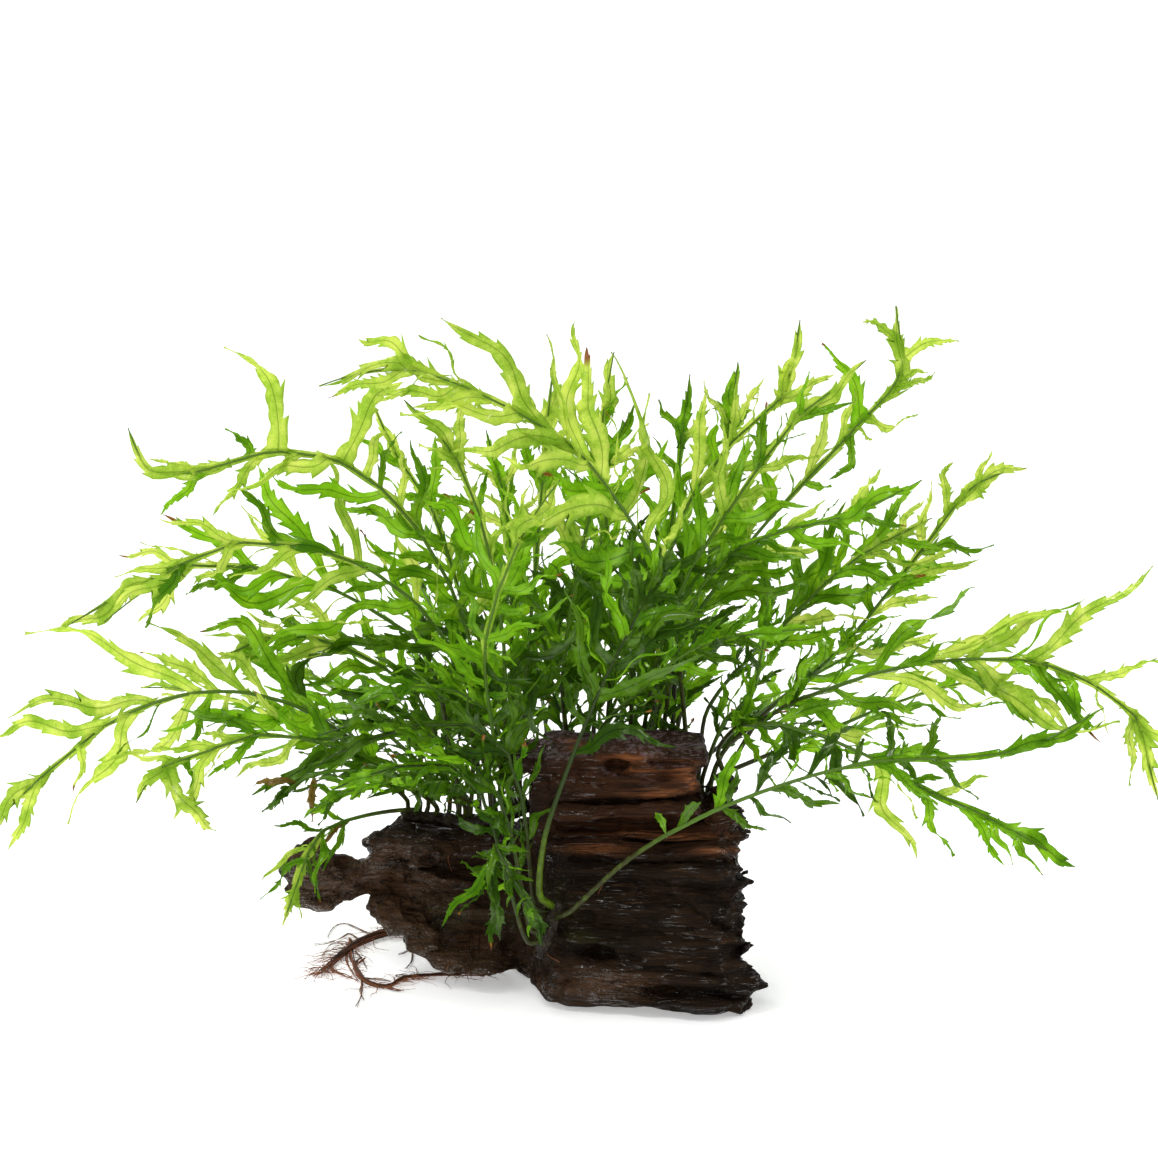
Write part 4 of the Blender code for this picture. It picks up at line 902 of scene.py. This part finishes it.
def growTogether():
    parts = [roughForm(*knob, False) for knob in knobs] + [slab(*corners) for corners in slabs]
    for node in wood["nodes"]:
        part = mergedCopy(node, "part_" + node)
        points = pointsOf(part)
        if node == "driftwood_left_branch":
            points[points[:, 0] > points[:, 0].max() - 0.5 * mm, 0] += wood["overlap"]
        elif node != "driftwood_main":
            points[points[:, 2] < points[:, 2].min() + 0.5 * mm, 2] -= wood["overlap"]
        putPoints(part, points)
        parts.append(part)
    for bite in bites:
        cutter = roughForm(*bite, True)
        for part in parts:
            cut = part.modifiers.new("bite", "BOOLEAN")
            cut.operation, cut.solver, cut.object = "DIFFERENCE", "EXACT", cutter
            applyAll(part)
        bpy.data.objects.remove(cutter)
    choose(parts[0])
    for part in parts:
        part.select_set(True)
    bpy.ops.object.join()
    piece = bpy.context.object
    piece.name = piece.data.name = "worn_driftwood"
    remesh = piece.modifiers.new("even", "REMESH")
    remesh.mode = "VOXEL"
    remesh.voxel_size = wood["voxel"]
    relax = piece.modifiers.new("relax", "SMOOTH")
    relax.factor = 0.5
    relax.iterations = 6
    applyAll(piece)
    return piece


def carve(piece):
    points, normals = pointsOf(piece), normalsOf(piece)
    seen, front = pictureOf(points), frontness(points, normals)
    ahead = np.array(viewFrame()[1])
    depth = np.zeros(len(points))
    for line, half, out in ridges:
        depth -= out * np.exp(-((nearLine(seen, line) / half) ** 2))
    for line, half, deep in grooves:
        depth += deep * np.exp(-((nearLine(seen, line) / half) ** 2))
    for centre, half, deep in hollows:
        depth += deep * np.minimum(inOval(seen, centre, half) * 1.6, 1)
    putPoints(piece, points + ahead * (depth * front * mm)[:, None])


def wear(piece):
    points, normals = pointsOf(piece), normalsOf(piece)
    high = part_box("driftwood_main")[1][0] / mm
    moves, torn = np.zeros(len(points)), np.zeros(len(points))
    for i, (x, y, z) in enumerate(points / mm):
        wide, fine = grainAt(x, y, z)
        lump = noise.noise(Vector((x / 22, y / 15, z / 13 + 1.7))) + 0.5 * noise.noise(Vector((x / 9, y / 7, z / 6)))
        pit = noise.voronoi(Vector((x / 17, y / 6.5, z / 5.0)))[0][0]
        moves[i] = (wood["grain"] * wide + 0.55 * wood["grain"] * fine + wood["lumps"] * lump
                    - wood["pits"] * max(0, 0.3 - pit) / 0.3)
        if x > high - wood["tornReach"]:
            ragged = noise.noise(Vector((3.3, y / 9, z / 3.4))) + 0.6 * noise.noise(Vector((1.3, y / 4, z / 1.5)))
            torn[i] = wood["torn"] * ragged * min(1, 1.4 - (high - x) / wood["tornReach"])
    points = points + normals * (moves * mm)[:, None]
    points[:, 0] += torn * mm
    points[:, 2] = np.maximum(points[:, 2], 0.1 * mm)
    putPoints(piece, points)


def markWood(piece):
    points, normals = pointsOf(piece), normalsOf(piece)
    seen, front = pictureOf(points), frontness(points, normals)
    red = sum(inOval(seen, centre, half) for centre, half in redPlaces) * (0.35 + 0.65 * front)
    orange = sum(inOval(seen, centre, half) for centre, half in orangePlaces) * front
    moss = sum(inOval(seen, centre, half) for centre, half in mossPlaces) * front
    grey = smooth(points[:, 2], 107 * mm, 112 * mm) * smooth(normals[:, 2], 0.4, 0.75)
    corners = np.empty(len(piece.data.loops), np.int32)
    piece.data.loops.foreach_get("vertex_index", corners)
    earth = sum(inOval(seen, centre, half) for centre, half in earthPlaces) * (0.4 + 0.6 * front)
    for title, pair in (("warm", (red, orange)), ("cool", (moss, grey)), ("earth", (earth, 1 - earth))):
        layer = piece.data.uv_layers.new(name=title)
        layer.uv.foreach_set("vector", np.clip(np.stack(pair, -1), 0, 1)[corners].ravel())


def makeWood():
    sheet = Sheet("wood_wet_dark")
    red, orange = sheet.map("warm")
    moss, grey = sheet.map("cool")
    earth, bare = sheet.map("earth")
    where = sheet.place()
    grain = sheet.noise(sheet.place((14, 130, 170)), 1.0, 6, 0.62, 0.6)
    strands = sheet.noise(sheet.place((34, 560, 700)), 1.0, 4, 0.6, 0.2)
    patches = sheet.noise(where, 42, 4, 0.6)
    speckle = sheet.noise(where, 1500, 3, 0.6)
    streaks = grain * 0.5 + strands * 0.5
    colour = sheet.blend(sheet.step(grain, 0.36, 0.68), (0.0050, 0.0025, 0.0010), (0.020, 0.0098, 0.0042))
    colour = sheet.blend(sheet.step(streaks, 0.54, 0.72) * 0.7, colour, (0.044, 0.021, 0.008))
    colour = sheet.blend(sheet.step(patches, 0.55, 0.8) * 0.4, colour, (0.024, 0.013, 0.007))
    colour = sheet.blend(earth * sheet.step(streaks + patches * 0.4, 0.45, 0.85), colour, (0.085, 0.042, 0.020))
    colour = sheet.blend(sheet.step(strands, 0.60, 0.70) * 0.5, colour, (0.070, 0.035, 0.015))
    colour = sheet.blend(sheet.step(strands, 0.44, 0.34) * 0.7, colour, (0.0035, 0.0020, 0.0012))
    colour = sheet.blend(red * sheet.step(streaks + patches * 0.3, 0.42, 0.80) * 0.9, colour, (0.070, 0.025, 0.010))
    colour = sheet.blend(orange * sheet.step(streaks + patches * 0.25, 0.52, 0.76), colour, (0.29, 0.100, 0.034))
    colour = sheet.blend(moss * sheet.step(patches + speckle * 0.4, 0.62, 0.85) * 0.5, colour, (0.034, 0.036, 0.006))
    coarse = sheet.noise(where, 420, 3, 0.7)
    colour = sheet.blend(grey * sheet.step(coarse + patches * 0.4, 0.66, 0.82) * 0.7, colour, (0.170, 0.118, 0.130))
    flecks = sheet.noise(sheet.place((60, 700, 1000)), 1.0, 3, 0.6)
    wet = sheet.step(flecks + (speckle - 0.46) * earth * 1.8, 0.56, 0.62) * sheet.step(patches, 0.42, 0.54)
    lumpy = sheet.noise(where, 380, 3, 0.65)
    height = grain * 0.6 + strands * 1.1 + speckle * 0.12 + earth * lumpy * 1.3
    dry = sheet.add("ShaderNodeBsdfPrincipled", {}, {
        "Base Color": colour, "Roughness": sheet.step(strands * 0.5 + patches * 0.5, 0.35, 0.65, 0.38, 0.7),
        "Specular IOR Level": 0.08, "Normal": sheet.bump(height, 1.0, 0.0022)})
    film = sheet.add("ShaderNodeBsdfPrincipled", {}, {
        "Base Color": colour, "Roughness": 0.17, "Specular IOR Level": 0.65, "Coat Weight": 0.5,
        "Coat Roughness": 0.09, "Normal": sheet.bump(height + speckle * 0.2, 1.0, 0.0022)})
    return sheet.finish(sheet.add("ShaderNodeMixShader", {}, {0: wet, 1: dry, 2: film}))


driftwood = growTogether()
carve(driftwood)
wear(driftwood)
markWood(driftwood)
driftwood.data.materials.clear()
driftwood.data.materials.append(makeWood())
driftwood.data.shade_smooth()
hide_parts(*wood["nodes"])
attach(driftwood, "root")
woodTree = BVHTree.FromObject(driftwood, bpy.context.evaluated_depsgraph_get())
print("driftwood: grown together, carved and worn,", len(driftwood.data.polygons), "faces")

# Creeping stems: scaly and bristly, dark between the stipes
rhizome = {"scale": 0.75 * mm, "bristles": 110, "bristle": (2.5, 7.0), "thin": (0.07, 0.16)}


def bristleLine(start, heading, length, chance, droop):
    places = [np.array(start)]
    way = Vector(heading).normalized()
    for step in range(4):
        way = (way + Vector((chance.gauss(0, 0.3), chance.gauss(0, 0.3), chance.gauss(0, 0.3) - droop))).normalized()
        places.append(places[-1] + np.array(way) * length / 4)
    return Path(places, 2)


def dressRhizome(node, number):
    chance = random.Random(90 + number)
    piece = mergedCopy(node, "scaly_" + node)
    soften = piece.modifiers.new("round", "SUBSURF")
    soften.levels = soften.render_levels = 3
    applyAll(piece)
    points, normals = pointsOf(piece), normalsOf(piece)
    moves = [noise.noise(Vector(tuple(point / mm / 2.4))) + 0.6 * noise.noise(Vector(tuple(point / mm / 1.0)))
             for point in points]
    points = points + normals * (np.array(moves) * rhizome["scale"] + 0.1 * mm)[:, None]
    putPoints(piece, points)
    choose(piece)
    bpy.ops.object.mode_set(mode="EDIT")
    bpy.ops.mesh.select_all(action="SELECT")
    bpy.ops.mesh.quads_convert_to_tris()
    bpy.ops.object.mode_set(mode="OBJECT")
    faces = np.empty(len(piece.data.polygons) * 3, np.int32)
    piece.data.polygons.foreach_get("vertices", faces)
    made = Gathered()
    made.add(points, faces.reshape(-1, 3), np.zeros((len(points), 2)), (0.5, 0), 0)
    for i in range(rhizome["bristles"]):
        spot = chance.randrange(len(points))
        heading = normals[spot] + np.array((chance.gauss(0, 0.5), chance.gauss(0, 0.3), 0))
        line = bristleLine(points[spot] - normals[spot] * 0.3 * mm, heading, chance.uniform(*rhizome["bristle"]) * mm,
                           chance, 0.45)
        thin = chance.uniform(*rhizome["thin"]) * mm
        made.add(*tube(line, lambda s, thin=thin: thin * (1 - 0.7 * s), 4, 6), (chance.random(), 1), 0)
    bpy.data.objects.remove(piece)
    whole = made.piece("bristly_" + node, [rhizomeMaterial])
    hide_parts(node)
    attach(whole, "root")


rhizomeMaterial = makeStem("rhizome_scaly", (0.012, 0.007, 0.004), (0.045, 0.034, 0.010), (0.020, 0.012, 0.006))
for number, node in enumerate(("rhizome_left", "rhizome_back", "rhizome_front")):
    dressRhizome(node, number)
print("creeping stems done")

# Roots: many wiry strands laid along the two solid roots, with side roots and hairs by the picture
roots = {
    "root_bundle": {
        "line": [(437, 940), (421, 933), (400, 931), (377, 935), (354, 945), (336, 959), (320, 973)],
        "strands": 64, "first": 2.7, "last": 1.3, "thick": 0.5 * mm, "hairs": 150,
        "side": [
            (0.55, [(352, 940), (350, 955), (356, 968), (363, 978), (372, 985), (390, 988), (400, 991)]),
            (0.45, [(353, 942), (352, 957), (359, 971), (368, 982), (384, 988)]),
            (0.40, [(348, 950), (347, 960), (352, 972), (359, 981)]),
            (0.50, [(331, 962), (333, 971), (345, 975), (357, 981)]),
            (0.40, [(361, 979), (363, 990), (361, 998), (357, 1006)]),
            (0.30, [(362, 984), (360, 992), (364, 1000)]),
            (0.35, [(414, 935), (412, 946), (405, 952), (398, 955)]),
            (0.40, [(412, 944), (412, 960), (406, 969)]),
            (0.22, [(374, 936), (358, 929), (345, 924), (333, 927), (327, 937)]),
            (0.25, [(362, 942), (350, 934), (340, 938), (326, 943), (314, 945)]),
            (0.25, [(353, 947), (345, 943), (330, 945), (322, 957)]),
            (0.22, [(355, 951), (362, 960), (367, 969)]),
            (0.35, [(333, 962), (322, 971), (313, 976)]),
        ],
        "onWood": [
            (0.45, [(452, 950), (449, 962), (446, 972)]), (0.40, [(480, 930), (479, 950), (477, 966)]),
            (0.40, [(470, 935), (466, 950), (468, 962)]), (0.35, [(498, 930), (500, 946), (496, 962)]),
            (0.22, [(600, 868), (604, 880), (598, 894)]), (0.20, [(570, 862), (574, 880), (566, 896)]),
            (0.20, [(455, 840), (448, 856), (452, 872)]), (0.30, [(540, 945), (548, 955), (560, 962)]),
        ],
    },
    "root_runner": {
        "line": [(364, 958), (355, 966), (366, 981), (388, 986), (405, 977), (445, 974), (486, 975)],
        "strands": 14, "first": 1.2, "last": 0.9, "thick": 0.42 * mm, "hairs": 80,
        "side": [
            (0.25, [(366, 979), (380, 979), (392, 982)]), (0.25, [(396, 976), (405, 975), (412, 978)]),
            (0.35, [(446, 972), (443, 966), (448, 958)]), (0.22, [(388, 988), (396, 991), (404, 990)]),
        ],
        "onWood": [],
    },
}


def dressRoot(node, settings, number):
    chance = random.Random(40 + number)
    count = len(settings["line"])
    radii = [settings["first"] + (settings["last"] - settings["first"]) * i / (count - 1) for i in range(count)]
    line = Path([seenOver(*point, (radius + 0.3) * mm) for point, radius in zip(settings["line"], radii)])
    made = Gathered()

    def addStrand(places, thick, sides=5, rings=24, fade=0.6, redness=0.0):
        made.add(*tube(Path(places, 4), lambda s: thick * (1 - fade * s), sides, rings), (chance.random(), redness), 0)

    for strand in range(settings["strands"]):
        shares = np.linspace(chance.uniform(0, 0.12), chance.uniform(0.7, 1.0), 14)
        spread = np.interp(shares, [0, 1], [settings["first"], settings["last"]]) * mm
        turns = chance.uniform(0, 2 * math.pi) + shares * chance.uniform(-6, 6)
        reach = spread * chance.uniform(0.25, 1.1)
        side = unit(np.cross(line.along(shares), up))
        places = line.at(shares) + side * (np.cos(turns) * reach)[:, None] + up * (np.sin(turns) * reach * 0.9)[:, None]
        places[:, 2] = np.maximum(places[:, 2], settings["thick"])
        addStrand(places, settings["thick"] * chance.uniform(0.5, 1.25), 5, 28, 0.55, chance.uniform(0, 0.5))
    for radius, points in settings["side"]:
        for copy in range(3):
            places = [np.array(seenOver(across + chance.gauss(0, 0.8), down + chance.gauss(0, 0.8),
                                        (0.45 + radius * (1 + copy * 0.5)) * mm)) for across, down in points]
            addStrand(places, radius * mm * chance.uniform(0.7, 1.1), 5, 24, 0.6, 0.3)
    for radius, points in settings["onWood"]:
        places = [np.array(seenOn(woodTree, across, down)) - (0, radius * mm, 0) for across, down in points]
        addStrand(places, radius * mm, 5, 20, 0.5, 0.2)
    for hair in range(settings["hairs"]):
        share = chance.random() ** 0.7
        ahead = line.along([share])[0]
        heading = Vector((ahead[0], ahead[1], 0)).normalized()
        heading.rotate(Matrix.Rotation(chance.uniform(-1.9, 1.1), 3, "Z"))
        length = chance.uniform(4, 21) * mm
        places = [line.at([share])[0]]
        for step in range(5):
            heading.rotate(Matrix.Rotation(chance.gauss(0.12, 0.45), 3, "Z"))
            places.append(places[-1] + np.array(heading) * length / 5)
            places[-1][2] = max(places[-1][2] * 0.6 + chance.uniform(0, 1.2) * mm, 0.25 * mm)
        addStrand(places, chance.uniform(0.13, 0.26) * mm, 4, 10, 0.6, 1.0)
    piece = made.piece("wiry_" + node, [rootMaterial])
    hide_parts(node)
    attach(piece, "root")
    print(" ", piece.name, len(piece.data.polygons), "faces")


def makeRoot():
    sheet = Sheet("root_wiry")
    hue, redness = sheet.map("tone")
    speckle = sheet.noise(sheet.place(), 700, 3, 0.6)
    mixed = sheet.step(hue * 0.6 + speckle * 0.5 + redness * 0.4, 0.42, 1.0)
    return sheet.finish(sheet.add("ShaderNodeBsdfPrincipled", {}, {
        "Base Color": sheet.blend(mixed, (0.022, 0.009, 0.005), (0.27, 0.095, 0.036)), "Specular IOR Level": 0.3,
        "Roughness": sheet.step(speckle, 0.3, 0.7, 0.35, 0.6), "Normal": sheet.bump(speckle, 0.5, 0.0003)}))


rootMaterial = makeRoot()
for number, (node, settings) in enumerate(roots.items()):
    dressRoot(node, settings, number)
print("roots done")

# Floor, light and camera
studio = {"floor": 30, "glow": 0.38, "world": 0.44, "back": 1.9, "spread": 20, "front": 12, "side": 3, "left": 3}


def makeFloor():
    clearPick()
    bpy.ops.mesh.primitive_plane_add(size=studio["floor"], location=(0, 8, 0))
    floor = bpy.context.object
    floor.name = "floor"
    sheet = Sheet("floor_white")
    floor.data.materials.append(sheet.finish(sheet.add("ShaderNodeBsdfPrincipled", {}, {
        "Base Color": (0.93, 0.93, 0.93, 1), "Roughness": 0.7, "Specular IOR Level": 0.1,
        "Emission Color": (1, 1, 1, 1), "Emission Strength": studio["glow"]})))


def addLamp(name, place, aim, size, power):
    lamp = bpy.data.lights.new(name, "AREA")
    lamp.shape = "RECTANGLE"
    lamp.size, lamp.size_y = size
    lamp.energy = power
    holder = bpy.data.objects.new(name, lamp)
    holder.location = place
    holder.rotation_euler = (Vector(aim) - Vector(place)).to_track_quat("-Z", "Y").to_euler()
    bpy.context.scene.collection.objects.link(holder)


def addSun(place):
    sun = bpy.data.lights.new("lamp_back", "SUN")
    sun.energy = studio["back"]
    sun.angle = math.radians(studio["spread"])
    holder = bpy.data.objects.new("lamp_back", sun)
    holder.location = place
    holder.rotation_euler = (-Vector(place)).to_track_quat("-Z", "Y").to_euler()
    bpy.context.scene.collection.objects.link(holder)


def makeWorld():
    world = bpy.data.worlds.new("studio")
    world.use_nodes = True
    nodes, links = world.node_tree.nodes, world.node_tree.links
    nodes.clear()
    rays, dim, bright = nodes.new("ShaderNodeLightPath"), nodes.new("ShaderNodeBackground"), nodes.new("ShaderNodeBackground")
    mix, last = nodes.new("ShaderNodeMixShader"), nodes.new("ShaderNodeOutputWorld")
    dim.inputs["Color"].default_value = bright.inputs["Color"].default_value = (1, 1, 1, 1)
    dim.inputs["Strength"].default_value = studio["world"]
    links.new(rays.outputs["Is Camera Ray"], mix.inputs[0])
    links.new(dim.outputs[0], mix.inputs[1])
    links.new(bright.outputs[0], mix.inputs[2])
    links.new(mix.outputs[0], last.inputs["Surface"])
    bpy.context.scene.world = world


makeFloor()
makeWorld()
addSun((-0.5, 0.75, 1.25))
addLamp("lamp_front", (-0.25, -0.9, 1.35), (0, 0, 0.12), (1.5, 0.2), studio["front"])
addLamp("lamp_side", (1.2, -0.5, 0.9), (0, 0, 0.12), (0.3, 0.6), studio["side"])
addLamp("lamp_left", (-1.0, -0.75, 0.8), (-0.05, 0, 0.08), (0.25, 0.5), studio["left"])
bpy.context.scene.view_settings.view_transform = "Standard"

eye = viewFrame()[0]
lens = bpy.data.cameras.new("camera")
lens.lens, lens.sensor_width, lens.clip_end = view["lens"], view["sensor"], 100
camera = bpy.data.objects.new("camera", lens)
camera.location = eye
camera.rotation_euler = (math.pi / 2 - view["tilt"], 0, 0)
bpy.context.scene.collection.objects.link(camera)
bpy.context.scene.camera = camera
print("studio and camera set")

clearPick()
